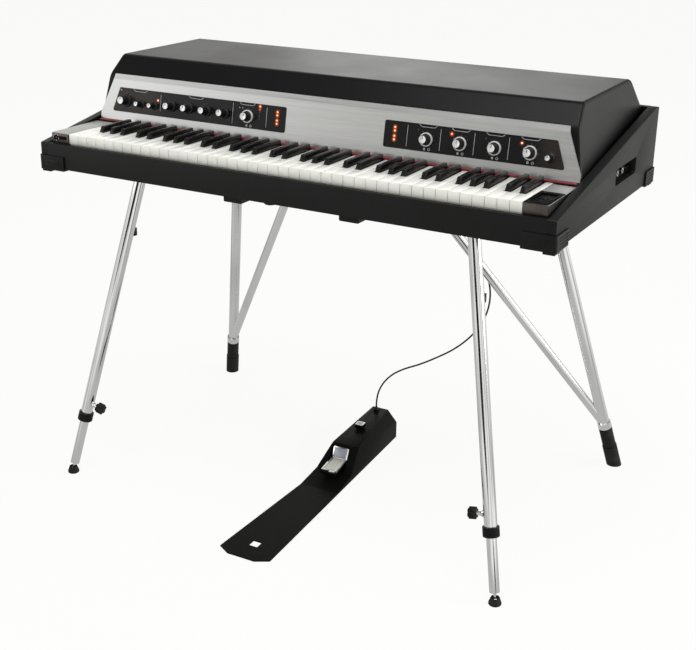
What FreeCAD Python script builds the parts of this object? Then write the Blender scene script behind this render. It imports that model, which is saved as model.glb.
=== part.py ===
import FreeCAD, Part

import math
import os

# A 73-key stage electric piano on four splayed tube legs, with its sustain pedal
# on the floor.  Millimetres.  X runs along the keyboard to the player's right,
# Y runs from the player to the back, Z is up from the floor.  Every size below is
# set out from the middle of the case front; save() moves the finished pieces so
# that the origin lies under the middle of the whole object.

Vec = FreeCAD.Vector
X_AXIS = Vec(1, 0, 0)
Z_AXIS = Vec(0, 0, 1)
OUT = "parts"

# Case
CASE_WIDTH = 1147.0
CASE_DEPTH = 586.0
UNDERSIDE = 701.0
FRONT_HEIGHT = 53.0
REAR_HEIGHT = 153.0
REAR_FLAT = 24.0
SIDE_BOARD = 18.0
FRONT_BOARD = 11.5
REAR_BOARD = 15.0
BOTTOM_BOARD = 12.0
SIDE_EDGE_RADIUS = 3.0

# Keyboard: 43 white keys fill what the case leaves between the cheek blocks
CHEEK_SPACE = 50.25
WHITE_COUNT = 43
KEY_PITCH = (CASE_WIDTH - 2 * SIDE_BOARD - 2 * CHEEK_SPACE) / WHITE_COUNT
KEY_COUNT = 73
FIRST_NOTE = 4
KEY_GAP = 1.0
KEY_FRONT = 12.84
KEY_RISE = 21.4
WHITE_LIP = 20.0
WHITE_HEAD = 50.0
COVER = 2.4
LEVER_BOTTOM_RISE = 50.0
LEVER_TOP_REAR = 16.0
LEVER_WIDTH = 10.0
LEVER_REAR = 405.0
SHARP_WIDTH = 11.0
SHARP_TOP_WIDTH = 8.6
SHARP_HEIGHT = 12.0
SHARP_SLOPE = 7.0
SHARP_END_GAP = 1.2
TAIL_LENGTH = 112.0
BALANCE_Y = 262.0
KEY_DIP = 10.0
NOTE_NAMES = ("c", "c_sharp", "d", "d_sharp", "e", "f",
              "f_sharp", "g", "g_sharp", "a", "a_sharp", "b")
SHARPS = tuple(note for note, name in enumerate(NOTE_NAMES) if name.endswith("sharp"))
LOW_GROUP = 5
LOW_GROUP_WHITES = 3
HIGH_GROUP_WHITES = 4

# Key frame
RAIL_DEPTH = 26.0
FRAME_RAIL_HEIGHT = 16.0
FRONT_GUIDE_Y = 40.0
BACK_RAIL_Y = 385.0
BALANCE_RIDGE = 8.0
BALANCE_GAP = 0.6

# Action and tone generators
HAMMER_PIVOT_Y = 455.0
HAMMER_RISE = 88.0
HAMMER_REACH = 128.0
HAMMER_WIDTH = 8.0
HAMMER_THICK = 7.0
HAMMER_TIP = 14.0
HAMMER_RAIL_DEPTH = 22.0
ACTION_MARGIN = 22.0
ACTION_POST = 18.0
TINE_BLOCK_Y = 300.0
TINE_RISE = 124.0
TINE_SIZE = 1.9
TINE_LONGEST = 150.0
TINE_SHORTEST = 24.0
BLOCK_SIZE = 11.0
TONE_BAR_RISE = 9.0
TONE_BAR_WIDTH = 9.0
TONE_BAR_THICK = 3.0
HARP_RAIL_DEPTH = 24.0
HARP_RAIL_HEIGHT = 14.0
PICKUP_GAP = 1.5
PICKUP_LENGTH = 22.0
PICKUP_WIDTH = 9.0
PICKUP_PLATE = 2.5

# Hood and control panel
PANEL_Y = 171.2
PANEL_LEAN = 10.1
PANEL_HEIGHT = 88.9
PANEL_STRIP = 11.4
PANEL_STRIP_LEAN = 21.0
PANEL_SHEET = 1.5
PANEL_SIDE_GAP = 3.5
PANEL_TAPER = 30.2
PANEL_SIDE_RISE = 15.0
PANEL_DROP = 1.0
HOOD_CLEARANCE = 1.5
HOOD_BOTTOM_RISE = 25.4
HOOD_WALL = 4.0
HOOD_END_DRAFT = 10.2
HOOD_BREAK_RISE = 95.0
HOOD_TOP_FRONT_Y = 57.0
HOOD_HEIGHT = 134.6
HOOD_CROWN = 2.0
HOOD_TOP_REAR_Y = 345.0
HOOD_REAR_SHOULDER = 76.0
HOOD_BREAK_RADIUS = 30.0
HOOD_FRONT_RADIUS = 15.0
HOOD_REAR_RADIUS = 22.0
HOOD_END_RADIUS = 7.0
HOOD_END_ZONE = 91.7
CLEAT = 12.0
CLEAT_START = 190.0
FELT_DEPTH = 16.0
FELT_THICK = 3.2
FELT_SIDE_GAP = 7.5

# Fascias on the control panel: outer end at the bottom and top edge and inner end,
# in key pitches from the middle, and heights along the slope of the panel
FASCIA_BOTTOM = 20.0
FASCIA_TOP = 72.0
FASCIA_SHEET = 1.2
FASCIA_CORNER = 4.0
LEFT_FASCIA = tuple(keys * KEY_PITCH for keys in (-22.119, -21.379, -3.213))
RIGHT_FASCIA = tuple(keys * KEY_PITCH for keys in (22.17, 21.319, 6.404))

# Knobs: name, x, height along the panel, kind
DUAL_FIRST = 10.298 * KEY_PITCH
DUAL_PITCH = 2.979 * KEY_PITCH
TONE_FIRST = -15.383 * KEY_PITCH
TONE_PITCH = 1.949 * KEY_PITCH
KNOBS = (
    ("knob_volume", -20.532 * KEY_PITCH, 45.0, "large"),
    ("knob_low", -18.809 * KEY_PITCH, 41.2, "small"),
    ("knob_high", -17.311 * KEY_PITCH, 41.2, "small"),
    ("knob_band_1", TONE_FIRST, 44.8, "medium"),
    ("knob_band_2", TONE_FIRST + TONE_PITCH, 44.8, "medium"),
    ("knob_band_3", TONE_FIRST + 2 * TONE_PITCH, 44.8, "medium"),
    ("knob_band_4", TONE_FIRST + 3 * TONE_PITCH, 44.8, "medium"),
    ("knob_drive", -7.055 * KEY_PITCH, 44.0, "skirted"),
    ("knob_effect_1", DUAL_FIRST, 43.5, "skirted"),
    ("knob_effect_2", DUAL_FIRST + DUAL_PITCH, 43.5, "skirted"),
    ("knob_effect_3", DUAL_FIRST + 2 * DUAL_PITCH, 43.5, "skirted"),
    ("knob_effect_4", DUAL_FIRST + 3 * DUAL_PITCH, 43.5, "skirted"),
    ("knob_feedback", 20.949 * KEY_PITCH, 39.0, "small"),
)
# kind: skirt radius, skirt height, body radius at the foot, at the face, length
KNOB_SIZES = {
    "large": (13.5, 4.0, 9.6, 8.2, 23.0),
    "medium": (11.8, 4.0, 8.4, 7.2, 23.0),
    "small": (9.0, 3.5, 6.4, 5.4, 21.0),
    "skirted": (13.4, 5.0, 9.4, 8.0, 20.0),
}
KNOB_STANDOFF = 0.3
KNOB_RING = 2.6
SHAFT_RADIUS = 3.0
SHAFT_HOLE_GAP = 0.4
POT_RADIUS = 8.0
POT_DEPTH = 10.0
BOARD_GAP = 2.3
BOARD_SHEET = 1.6
BOARD_MARGIN = 16.0
POST_RADIUS = 3.0

# Cheek blocks beside the keys
CHEEK_REAR = 158.0
CHEEK_GAP = 1.0
CHEEK_EDGE = 1.2
CHEEK_SIDE_GAP = 3.5
WELL_SIZE = (34.0, 62.0)
WELL_FRONT = 12.0
WELL_DEPTH = 2.0

# Jacks
JACK_RADIUS = 3.25
JACK_DEPTH = 14.0
JACK_BODY = 7.5
JACK_FERRULE = 5.6
JACK_FERRULE_HEIGHT = 7.0
HEADPHONE_FERRULE = 2.2
JACK_BAY_Y = (321.0, 452.0)
JACK_BAY_Z = (42.5, 75.0)
JACK_BAY_CORNER = 5.0
JACK_PLATE = 2.0
JACK_PLATE_LAP = 8.0
JACK_PLACES = (48.0, 79.0, 110.0)
JACK_DROP = 3.0
HEADPHONE_INSET = 12.0

# Front legs: each end is in from the side of the case and back from its front
FRONT_TOP_IN = (192.2, 96.2)
FRONT_FOOT_IN = (51.0, -36.1)
UPPER_RADIUS = 12.7
UPPER_WALL = 1.5
UPPER_END = 0.80
LOWER_RADIUS = 10.0
LOWER_START = 0.62
LOWER_END = 0.966
COLLAR_START = 0.735
COLLAR_RADIUS = 16.5
COLLAR_LIP = 12.0
BUSH_GAP = 0.06
CLAMP_AT = 0.757
CLAMP_STEM = 4.0
CLAMP_OUT = 28.0
CLAMP_LENGTH = 14.0
CLAMP_RADIUS = 12.0
CLAMP_LOBES = 6
LEG_CLIP_AT = 0.2
PAD_RADIUS = 12.6
PAD_HEIGHT = 15.0
PAD_NECK = 7.6
BALL_RADIUS = 5.0
BALL_HEIGHT = 8.0
SCREW_RADIUS = 3.0
PAD_MOUTH_RISE = 3.0
PAD_MOUTH_RADIUS = 4.4

# Rear legs and braces: each end is in from the side and from the back of the case
REAR_TOP_IN = (187.9, 123.7)
REAR_FOOT_IN = (31.1, -51.7)
TIP_START = 0.86
TIP_WAIST = 0.925
TIP_RADIUS = 15.2
TIP_FOOT_RADIUS = 16.6
BRACE_TOP_IN = (438.5, 247.0)
BRACE_AT = 0.845
BRACE_RADIUS = 10.0
BRACE_WALL = 1.5
BRACE_RING = 15.6
BRACE_RING_LENGTH = 15.0

# Sockets and fittings under the case
SOCKET_RADIUS = 36.0
SOCKET_PLATE = 6.0
SOCKET_SLEEVE = 26.0
SOCKET_WALL = 4.0
BRACE_SOCKET_RADIUS = 24.0
BLOCK_CENTRES = (-97.5, 164.0)
BLOCK_WIDTH = 42.0
BLOCK_HEIGHT = 16.0
BLOCK_Y = (16.0, 76.0)
FOOT_X = -16.0
FOOT_Y = 28.0
FOOT_RADIUS = 13.0
FOOT_HEIGHT = 9.0

# Corner protectors
CORNER_WALL = 3.5
CORNER_LENGTH = 62.0
CORNER_DEPTH = 58.0
CORNER_HEIGHT = 27.0
CORNER_RADIUS = 6.0
CORNER_RIBS = 4
CORNER_RIB_CUT = 1.2
CORNER_FOOT = 22.0
CORNER_FOOT_HEIGHT = 5.0

# Pedal, in its own frame: x across, y from the tip towards the cable; what sits on
# its cover is set out from the rear end
PEDAL_TIP = (13.5, -144.0)
PEDAL_TURN = 1.0
PEDAL_LENGTH = 645.0
PEDAL_HALF_FRONT = 60.0
PEDAL_HALF_REAR = 34.0
PEDAL_TIP_HALF = 32.0
PEDAL_TIP_DEPTH = 16.0
PEDAL_PLATE = 3.0
PEDAL_HOLE_Y = 56.0
PEDAL_HOLE = 20.0
COVER_SHEET = 2.0
COVER_LENGTH = 323.0
RAMP_LENGTH = 253.0
TOP_LENGTH = 217.0
COVER_START = PEDAL_LENGTH - COVER_LENGTH
COVER_RAMP = (PEDAL_LENGTH - RAMP_LENGTH, 15.0)
COVER_TOP = (PEDAL_LENGTH - TOP_LENGTH, 68.0)
LEFT_FACET = ((-45.0, *COVER_RAMP), (-24.0, *COVER_TOP), (-31.0, PEDAL_LENGTH, COVER_TOP[1]))
RIGHT_FACET = ((43.0, *COVER_TOP), (9.5, PEDAL_LENGTH, COVER_TOP[1]), (29.0, PEDAL_LENGTH, 46.0))
SLOT_HALF = 22.5
SLOT_HEIGHT = (17.0, 62.0)
TREAD_HALF = 20.0
PIVOT_LENGTH = 171.0
TREAD_PIVOT = (PEDAL_LENGTH - PIVOT_LENGTH, 31.0)
TREAD_UPPER = ((-113.0, -12.0), (-113.0, -6.5), (-109.0, -4.0), (-58.0, 4.0), (-47.0, 27.0),
               (-42.0, 26.0), (-35.0, 10.0))
TREAD_LOWER = ((-44.0, -4.0), (-62.0, -3.0))
TREAD_AXLE = 4.0
TREAD_HUB = 7.0
TREAD_GAP = 0.06
AXLE_EAR = 4.0
BUTTON_BACK = 124.0
BUTTON_PLACE = (-2.0, PEDAL_LENGTH - BUTTON_BACK)
BUTTON_SIZE = 20.0
BUTTON_HEIGHT = 9.0
BUTTON_GUIDE = 14.0
BUTTON_GAP = 0.4
BUTTON_TRAVEL = 3.0
GLAND_BACK = 19.0
GLAND_PLACE = (-13.0, PEDAL_LENGTH - GLAND_BACK)
GLAND_RADIUS = 6.0
GLAND_HEIGHT = 10.0

# Pedal cable: a free cord from the pedal gland up to the gland under the case; the
# heights of its route are measured from the underside
CABLE_RADIUS = 2.0
CABLE_RISE = 26.0
CABLE_ROUTE = (
    (0.0, 485.0, -564.0), (23.0, 487.6, -534.0), (55.0, 490.0, -511.5),
    (96.0, 492.0, -492.0), (137.0, 494.0, -467.0), (177.0, 496.0, -440.0),
    (213.0, 498.0, -407.0), (243.0, 499.0, -367.0), (261.0, 499.0, -321.0),
    (263.0, 498.0, -273.0), (247.0, 496.0, -227.0), (226.0, 493.0, -181.0),
    (204.0, 489.0, -135.0), (187.0, 485.0, -89.0), (179.0, 481.0, -46.0),
)
CABLE_END_RISE = 34.0
CABLE_ARC_SHARE = 0.45

# Derived sizes
HALF = CASE_WIDTH / 2
INNER = HALF - SIDE_BOARD
FLOOR_TOP = UNDERSIDE + BOTTOM_BOARD
CASE_FRONT_TOP = UNDERSIDE + FRONT_HEIGHT
CASE_REAR_TOP = UNDERSIDE + REAR_HEIGHT
KEY_TOP = CASE_FRONT_TOP + KEY_RISE
LEVER_BOTTOM = UNDERSIDE + LEVER_BOTTOM_RISE
KEYS_HALF = KEY_PITCH * WHITE_COUNT / 2
HOOD_BOTTOM = CASE_FRONT_TOP + HOOD_BOTTOM_RISE
LEAN = math.radians(PANEL_LEAN)
HOOD_FRONT = PANEL_Y + PANEL_DROP * math.tan(LEAN) + PANEL_SHEET / math.cos(LEAN)
PANEL_LOW = (PANEL_DROP + PANEL_SHEET * math.sin(LEAN)) / math.cos(LEAN)
FELT_FRONT = PANEL_Y + PANEL_SHEET + HOOD_WALL - FELT_DEPTH
ACTION_HALF = KEYS_HALF + ACTION_MARGIN
PANEL_HALF_BOTTOM = INNER - PANEL_SIDE_GAP
PANEL_HALF_TOP = PANEL_HALF_BOTTOM - PANEL_TAPER
FELT_HALF = INNER - FELT_SIDE_GAP
FRONT_TOP = (HALF - FRONT_TOP_IN[0], FRONT_TOP_IN[1])
FRONT_FOOT = (HALF - FRONT_FOOT_IN[0], FRONT_FOOT_IN[1])
REAR_TOP = (HALF - REAR_TOP_IN[0], CASE_DEPTH - REAR_TOP_IN[1])
REAR_FOOT = (HALF - REAR_FOOT_IN[0], CASE_DEPTH - REAR_FOOT_IN[1])
BRACE_TOP = (HALF - BRACE_TOP_IN[0], CASE_DEPTH - BRACE_TOP_IN[1])


def box(x_range, y_range, z_range):
    """A box between the given limits."""
    size = [high - low for low, high in (x_range, y_range, z_range)]
    return Part.makeBox(*size, Vec(x_range[0], y_range[0], z_range[0]))


def prism_x(points, x_low, x_high):
    """Extrude a (y, z) outline along X."""
    loop = [Vec(x_low, y, z) for y, z in points]
    face = Part.Face(Part.makePolygon(loop + loop[:1]))
    return face.extrude(Vec(x_high - x_low, 0, 0))


def prism_y(points, y_low, y_high):
    """Extrude an (x, z) outline along Y."""
    loop = [Vec(x, y_low, z) for x, z in points]
    face = Part.Face(Part.makePolygon(loop + loop[:1]))
    return face.extrude(Vec(0, y_high - y_low, 0))


def prism_z(points, z_low, z_high):
    """Extrude an (x, y) outline along Z."""
    loop = [Vec(x, y, z_low) for x, y in points]
    face = Part.Face(Part.makePolygon(loop + loop[:1]))
    return face.extrude(Vec(0, 0, z_high - z_low))


def rounded_wire(points, radii):
    """A closed wire through 3-D corner points, each with its own corner radius."""
    count = len(points)
    cuts = []
    for i in range(count):
        corner = points[i]
        before = (points[i - 1] - corner).normalize()
        after = (points[(i + 1) % count] - corner).normalize()
        if radii[i] <= 0:
            cuts.append((corner, None, corner))
            continue
        half = before.getAngle(after) / 2
        reach = radii[i] / math.tan(half)
        bisector = (before + after).normalize()
        centre = corner + bisector * (radii[i] / math.sin(half))
        middle = centre - bisector * radii[i]
        cuts.append((corner + before * reach, middle, corner + after * reach))
    edges = []
    for i in range(count):
        start, middle, end = cuts[i]
        if middle is not None:
            edges.append(Part.Arc(start, middle, end).toShape())
        following = cuts[(i + 1) % count][0]
        if (following - end).Length > 1e-6:
            edges.append(Part.LineSegment(end, following).toShape())
    return Part.Wire(edges)


def rod(start, end, radius):
    """A solid round bar between two points."""
    return Part.makeCylinder(radius, (end - start).Length, start, end - start)


def along(start, end, share):
    """The point a share of the way from start to end."""
    return start + (end - start) * share


def turned(profile, base, axis=Z_AXIS):
    """Turn a (radius, height) outline about an axis through base."""
    loop = [Vec(r, 0, h) for r, h in profile]
    face = Part.Face(Part.makePolygon(loop + loop[:1]))
    solid = face.revolve(Vec(0, 0, 0), Z_AXIS, 360)
    solid.Placement = FreeCAD.Placement(base, FreeCAD.Rotation(Z_AXIS, axis))
    return solid


def mirrored(shape):
    """The same piece on the other side of the middle plane."""
    return shape.mirror(Vec(0, 0, 0), X_AXIS)


def on_panel(shape):
    """Move a piece drawn as (x, height along the panel, outward) onto the panel."""
    slope = FreeCAD.Rotation(X_AXIS, 90 - PANEL_LEAN)
    moved = shape.copy()
    place = FreeCAD.Placement(Vec(0, PANEL_Y, HOOD_BOTTOM - PANEL_DROP), slope)
    moved.Placement = place.multiply(moved.Placement)
    return moved


def on_floor(shape):
    """Move a piece drawn in the pedal's frame to where the pedal lies."""
    turn = FreeCAD.Rotation(Z_AXIS, PEDAL_TURN)
    moved = shape.copy()
    moved.Placement = FreeCAD.Placement(Vec(*PEDAL_TIP, 0), turn).multiply(moved.Placement)
    return moved


def case_boards():
    """Bottom, side, front and rear boards of the case."""
    inside = (-INNER, INNER)
    bottom = box(inside, (FRONT_BOARD, CASE_DEPTH - REAR_BOARD), (UNDERSIDE, FLOOR_TOP))
    front = box(inside, (0, FRONT_BOARD), (UNDERSIDE, CASE_FRONT_TOP))
    rear = box(inside, (CASE_DEPTH - REAR_BOARD, CASE_DEPTH), (UNDERSIDE, CASE_REAR_TOP))
    outline = ((0, UNDERSIDE), (CASE_DEPTH, UNDERSIDE), (CASE_DEPTH, CASE_REAR_TOP),
               (CASE_DEPTH - REAR_FLAT, CASE_REAR_TOP), (0, CASE_FRONT_TOP))
    corners = [Vec(INNER, y, z) for y, z in outline]
    radii = [0, 0, SIDE_EDGE_RADIUS, SIDE_EDGE_RADIUS, SIDE_EDGE_RADIUS]
    right = Part.Face(rounded_wire(corners, radii)).extrude(Vec(SIDE_BOARD, 0, 0))
    left = mirrored(right)
    bay = rounded_box_x(JACK_BAY_Y, bay_heights(), JACK_BAY_CORNER, INNER - 1, HALF + 1)
    return {
        "bottom_board": [bottom],
        "front_rail": [front],
        "rear_panel": [rear],
        "left_side_panel": [left],
        "right_side_panel": [right.cut(bay)],
    }


def bay_heights():
    """Lowest and highest level of the jack bay."""
    return (UNDERSIDE + JACK_BAY_Z[0], UNDERSIDE + JACK_BAY_Z[1])


def rounded_box_x(y_range, z_range, radius, x_low, x_high):
    """A block along X with rounded corners in the side view."""
    corners = [Vec(x_low, y, z) for y, z in (
        (y_range[0], z_range[0]), (y_range[1], z_range[0]),
        (y_range[1], z_range[1]), (y_range[0], z_range[1]))]
    return Part.Face(rounded_wire(corners, [radius] * 4)).extrude(Vec(x_high - x_low, 0, 0))


def corner_protectors():
    """Ribbed plastic shoes on the four bottom corners."""
    low = UNDERSIDE - CORNER_WALL
    high = low + CORNER_HEIGHT + CORNER_WALL
    outer_x = HALF + CORNER_WALL
    shoe = box((HALF - CORNER_LENGTH, outer_x), (-CORNER_WALL, CORNER_DEPTH), (low, high))
    upright = [e for e in shoe.Edges if abs(e.BoundBox.ZLength - (high - low)) < 1e-6
               and e.BoundBox.XMin > outer_x - 1e-6 and e.BoundBox.YMax < 0]
    shoe = shoe.makeFillet(CORNER_RADIUS, upright)
    for i in range(CORNER_RIBS):
        level = low + (i + 1) * (high - low) / (CORNER_RIBS + 1)
        inner = box((0, outer_x - CORNER_RIB_CUT), (0, CORNER_DEPTH), (level - 1, level + 1))
        slit = box((HALF - CORNER_WALL, outer_x + 1), (3 * CORNER_WALL, CORNER_DEPTH - CORNER_WALL),
                   (level - 1, level + 1))
        shoe = shoe.cut(slit.cut(inner))
    case = box((0, HALF), (0, CASE_DEPTH), (UNDERSIDE, CASE_REAR_TOP))
    foot = box((HALF - CORNER_FOOT, HALF), (0, CORNER_FOOT), (low - CORNER_FOOT_HEIGHT, low))
    front = shoe.cut(case).fuse(foot).removeSplitter()
    middle = Vec(0, CASE_DEPTH / 2, 0)
    rear = front.mirror(middle, Vec(0, 1, 0))
    return {"corner_protectors": [front, mirrored(front), rear, mirrored(rear)]}


def key_layout():
    """For each key: its note, the span of its head and the span of its tail."""
    keys = []
    left = -KEYS_HALF
    for index in range(KEY_COUNT):
        note = (FIRST_NOTE + index) % 12
        low = note < LOW_GROUP
        whites = LOW_GROUP_WHITES if low else HIGH_GROUP_WHITES
        notes = LOW_GROUP if low else 12 - LOW_GROUP
        place = note if low else note - LOW_GROUP
        slot = whites * KEY_PITCH / notes
        before = sum(1 for n in range(0 if low else LOW_GROUP, note) if n not in SHARPS)
        group_left = left - before * KEY_PITCH
        tail = [group_left + place * slot, group_left + (place + 1) * slot]
        head = None
        if note not in SHARPS:
            head = (left, left + KEY_PITCH)
            if index == 0:
                tail[0] = left
            if index == KEY_COUNT - 1:
                tail[1] = left + KEY_PITCH
            left += KEY_PITCH
        keys.append((note, head, tuple(tail)))
    return keys


def white_key(head, tail):
    """Cover and lever of a white key."""
    half_gap = KEY_GAP / 2
    cover_low = KEY_TOP - COVER
    lip = box((head[0] + half_gap, head[1] - half_gap), (KEY_FRONT, KEY_FRONT + COVER),
              (KEY_TOP - WHITE_LIP, cover_low))
    top = box((head[0] + half_gap, head[1] - half_gap),
              (KEY_FRONT, KEY_FRONT + WHITE_HEAD), (cover_low, KEY_TOP))
    shoulder = KEY_FRONT + WHITE_HEAD
    strip = box((tail[0] + half_gap, tail[1] - half_gap), (shoulder, shoulder + TAIL_LENGTH),
                (cover_low, KEY_TOP))
    cover = lip.fuse([top, strip]).removeSplitter()
    lever = key_lever(sum(tail) / 2, KEY_FRONT + COVER, (head[0] + half_gap, head[1] - half_gap))
    return cover, lever


def key_lever(centre, front, head):
    """Wooden lever under a key, wide under the head of a white key."""
    low = LEVER_BOTTOM
    high = KEY_TOP - COVER
    shoulder = KEY_FRONT + WHITE_HEAD + TAIL_LENGTH
    outline = ((front, low), (LEVER_REAR, low), (LEVER_REAR, low + LEVER_TOP_REAR),
               (shoulder, high), (front, high))
    lever = prism_x(outline, centre - LEVER_WIDTH / 2, centre + LEVER_WIDTH / 2)
    if head is not None:
        block = box(head, (front, KEY_FRONT + WHITE_HEAD), (low, high))
        lever = lever.fuse(block).removeSplitter()
    return lever


def black_key(tail):
    """Cover and lever of a black key."""
    centre = sum(tail) / 2
    low = KEY_TOP - COVER
    front = KEY_FRONT + WHITE_HEAD + KEY_GAP
    side = (SHARP_WIDTH - SHARP_TOP_WIDTH) / 2
    section = ((centre - SHARP_WIDTH / 2, low), (centre + SHARP_WIDTH / 2, low),
               (centre + SHARP_TOP_WIDTH / 2, KEY_TOP + SHARP_HEIGHT),
               (centre - SHARP_TOP_WIDTH / 2, KEY_TOP + SHARP_HEIGHT))
    body = prism_y(section, front, FELT_FRONT - SHARP_END_GAP)
    slope = prism_x(((front - 1, low), (front, low), (front + SHARP_SLOPE, KEY_TOP + SHARP_HEIGHT + 1),
                     (front - 1, KEY_TOP + SHARP_HEIGHT + 1)),
                    centre - SHARP_WIDTH / 2 - side, centre + SHARP_WIDTH / 2 + side)
    body = body.cut(slope)
    return body, key_lever(centre, front, None)


def keys():
    """One node for each note of the scale, holding that note in every octave."""
    nodes = {}
    for note, head, tail in key_layout():
        solids = white_key(head, tail) if head else black_key(tail)
        nodes.setdefault("keys_" + NOTE_NAMES[note], []).extend(solids)
    return nodes


def key_frame():
    """The rails that carry the keys, and the bars that tie them together."""
    base = (FLOOR_TOP, FLOOR_TOP + FRAME_RAIL_HEIGHT)
    span = (-KEYS_HALF, KEYS_HALF)
    frame = box(span, (FRONT_GUIDE_Y, FRONT_GUIDE_Y + RAIL_DEPTH), base)
    balance = box(span, (BALANCE_Y - RAIL_DEPTH / 2, BALANCE_Y + RAIL_DEPTH / 2), base)
    ridge = box(span, (BALANCE_Y - BALANCE_RIDGE / 2, BALANCE_Y + BALANCE_RIDGE / 2),
                (base[0], LEVER_BOTTOM - BALANCE_GAP))
    back = box(span, (BACK_RAIL_Y - RAIL_DEPTH, BACK_RAIL_Y), base)
    frame = frame.fuse([balance, ridge, back])
    bars = 5
    for i in range(bars):
        x = span[0] + i * (span[1] - span[0] - RAIL_DEPTH) / (bars - 1)
        frame = frame.fuse(box((x, x + RAIL_DEPTH), (FRONT_GUIDE_Y, BACK_RAIL_Y), base))
    return {"key_frame": [frame.removeSplitter()]}


def tine_length(x):
    """Free length of the tine that stands at x, from bass to treble."""
    share = (x + KEYS_HALF) / (2 * KEYS_HALF)
    return TINE_LONGEST + (TINE_SHORTEST - TINE_LONGEST) * share


def hammer_action():
    """The hammers at rest above the key ends, and the rail that carries them."""
    level = UNDERSIDE + HAMMER_RISE
    front = HAMMER_PIVOT_Y - HAMMER_REACH
    outline = ((HAMMER_PIVOT_Y, level), (HAMMER_PIVOT_Y, level + HAMMER_THICK),
               (front + HAMMER_TIP, level + HAMMER_THICK), (front + HAMMER_TIP, level + 2 * HAMMER_TIP),
               (front, level + 2 * HAMMER_TIP), (front, level))
    hammers = []
    for _, _, tail in key_layout():
        centre = sum(tail) / 2
        hammers.append(prism_x(outline, centre - HAMMER_WIDTH / 2, centre + HAMMER_WIDTH / 2))
    rail_y = (HAMMER_PIVOT_Y, HAMMER_PIVOT_Y + HAMMER_RAIL_DEPTH)
    rail = box((-ACTION_HALF, ACTION_HALF), rail_y, (FLOOR_TOP, level + HAMMER_THICK))
    return {"hammer_action": hammers + [rail]}


def harp():
    """Harp frame, tone bars with their tines, and the pickup rail."""
    level = UNDERSIDE + TINE_RISE
    block_low = level - BLOCK_SIZE / 2
    block_high = level + BLOCK_SIZE / 2
    rail_low = block_high + TONE_BAR_RISE - BLOCK_SIZE / 2 + TONE_BAR_THICK
    bars = []
    pickups = []
    for _, _, tail in key_layout():
        centre = sum(tail) / 2
        length = tine_length(centre)
        half = TONE_BAR_WIDTH / 2
        front = TINE_BLOCK_Y - BLOCK_SIZE
        block = box((centre - half, centre + half), (front, TINE_BLOCK_Y),
                    (block_low, rail_low - TONE_BAR_THICK))
        bar = box((centre - half, centre + half), (front, TINE_BLOCK_Y + length),
                  (rail_low - TONE_BAR_THICK, rail_low))
        thin = TINE_SIZE / 2
        tine = box((centre - thin, centre + thin), (TINE_BLOCK_Y - 1, TINE_BLOCK_Y + length),
                   (level - thin, level + thin))
        bars.append(block.fuse([bar, tine]).removeSplitter())
        near = TINE_BLOCK_Y + length + PICKUP_GAP
        half = PICKUP_WIDTH / 2
        pickups.append(box((centre - half, centre + half), (near, near + PICKUP_LENGTH),
                           (level - half, level + half)))
    rail_y = (TINE_BLOCK_Y - HARP_RAIL_DEPTH, TINE_BLOCK_Y)
    far = TINE_BLOCK_Y + TINE_LONGEST + PICKUP_GAP
    near = TINE_BLOCK_Y + TINE_SHORTEST + PICKUP_GAP
    frame = box((-ACTION_HALF, ACTION_HALF), rail_y, (rail_low, rail_low + HARP_RAIL_HEIGHT))
    under = level + PICKUP_WIDTH / 2
    depth = PICKUP_LENGTH
    rail = prism_z(((-ACTION_HALF, far), (-KEYS_HALF, far), (KEYS_HALF, near), (ACTION_HALF, near),
                    (ACTION_HALF, near + depth), (KEYS_HALF, near + depth), (-KEYS_HALF, far + depth),
                    (-ACTION_HALF, far + depth)), under, under + PICKUP_PLATE)
    for side, start in ((-1, far), (1, near)):
        post = sorted((side * ACTION_HALF, side * (ACTION_HALF - ACTION_POST)))
        arm = box(post, (rail_y[0], far + depth), (rail_low, rail_low + HARP_RAIL_HEIGHT))
        leg = box(post, rail_y, (FLOOR_TOP, rail_low))
        frame = frame.fuse([arm, leg])
        rail = rail.fuse(box(post, (start, start + depth), (under, rail_low)))
    frame = frame.removeSplitter()
    return {
        "harp_frame": [frame],
        "tone_bars": bars,
        "pickup_rail": pickups + [rail.removeSplitter()],
    }


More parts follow.
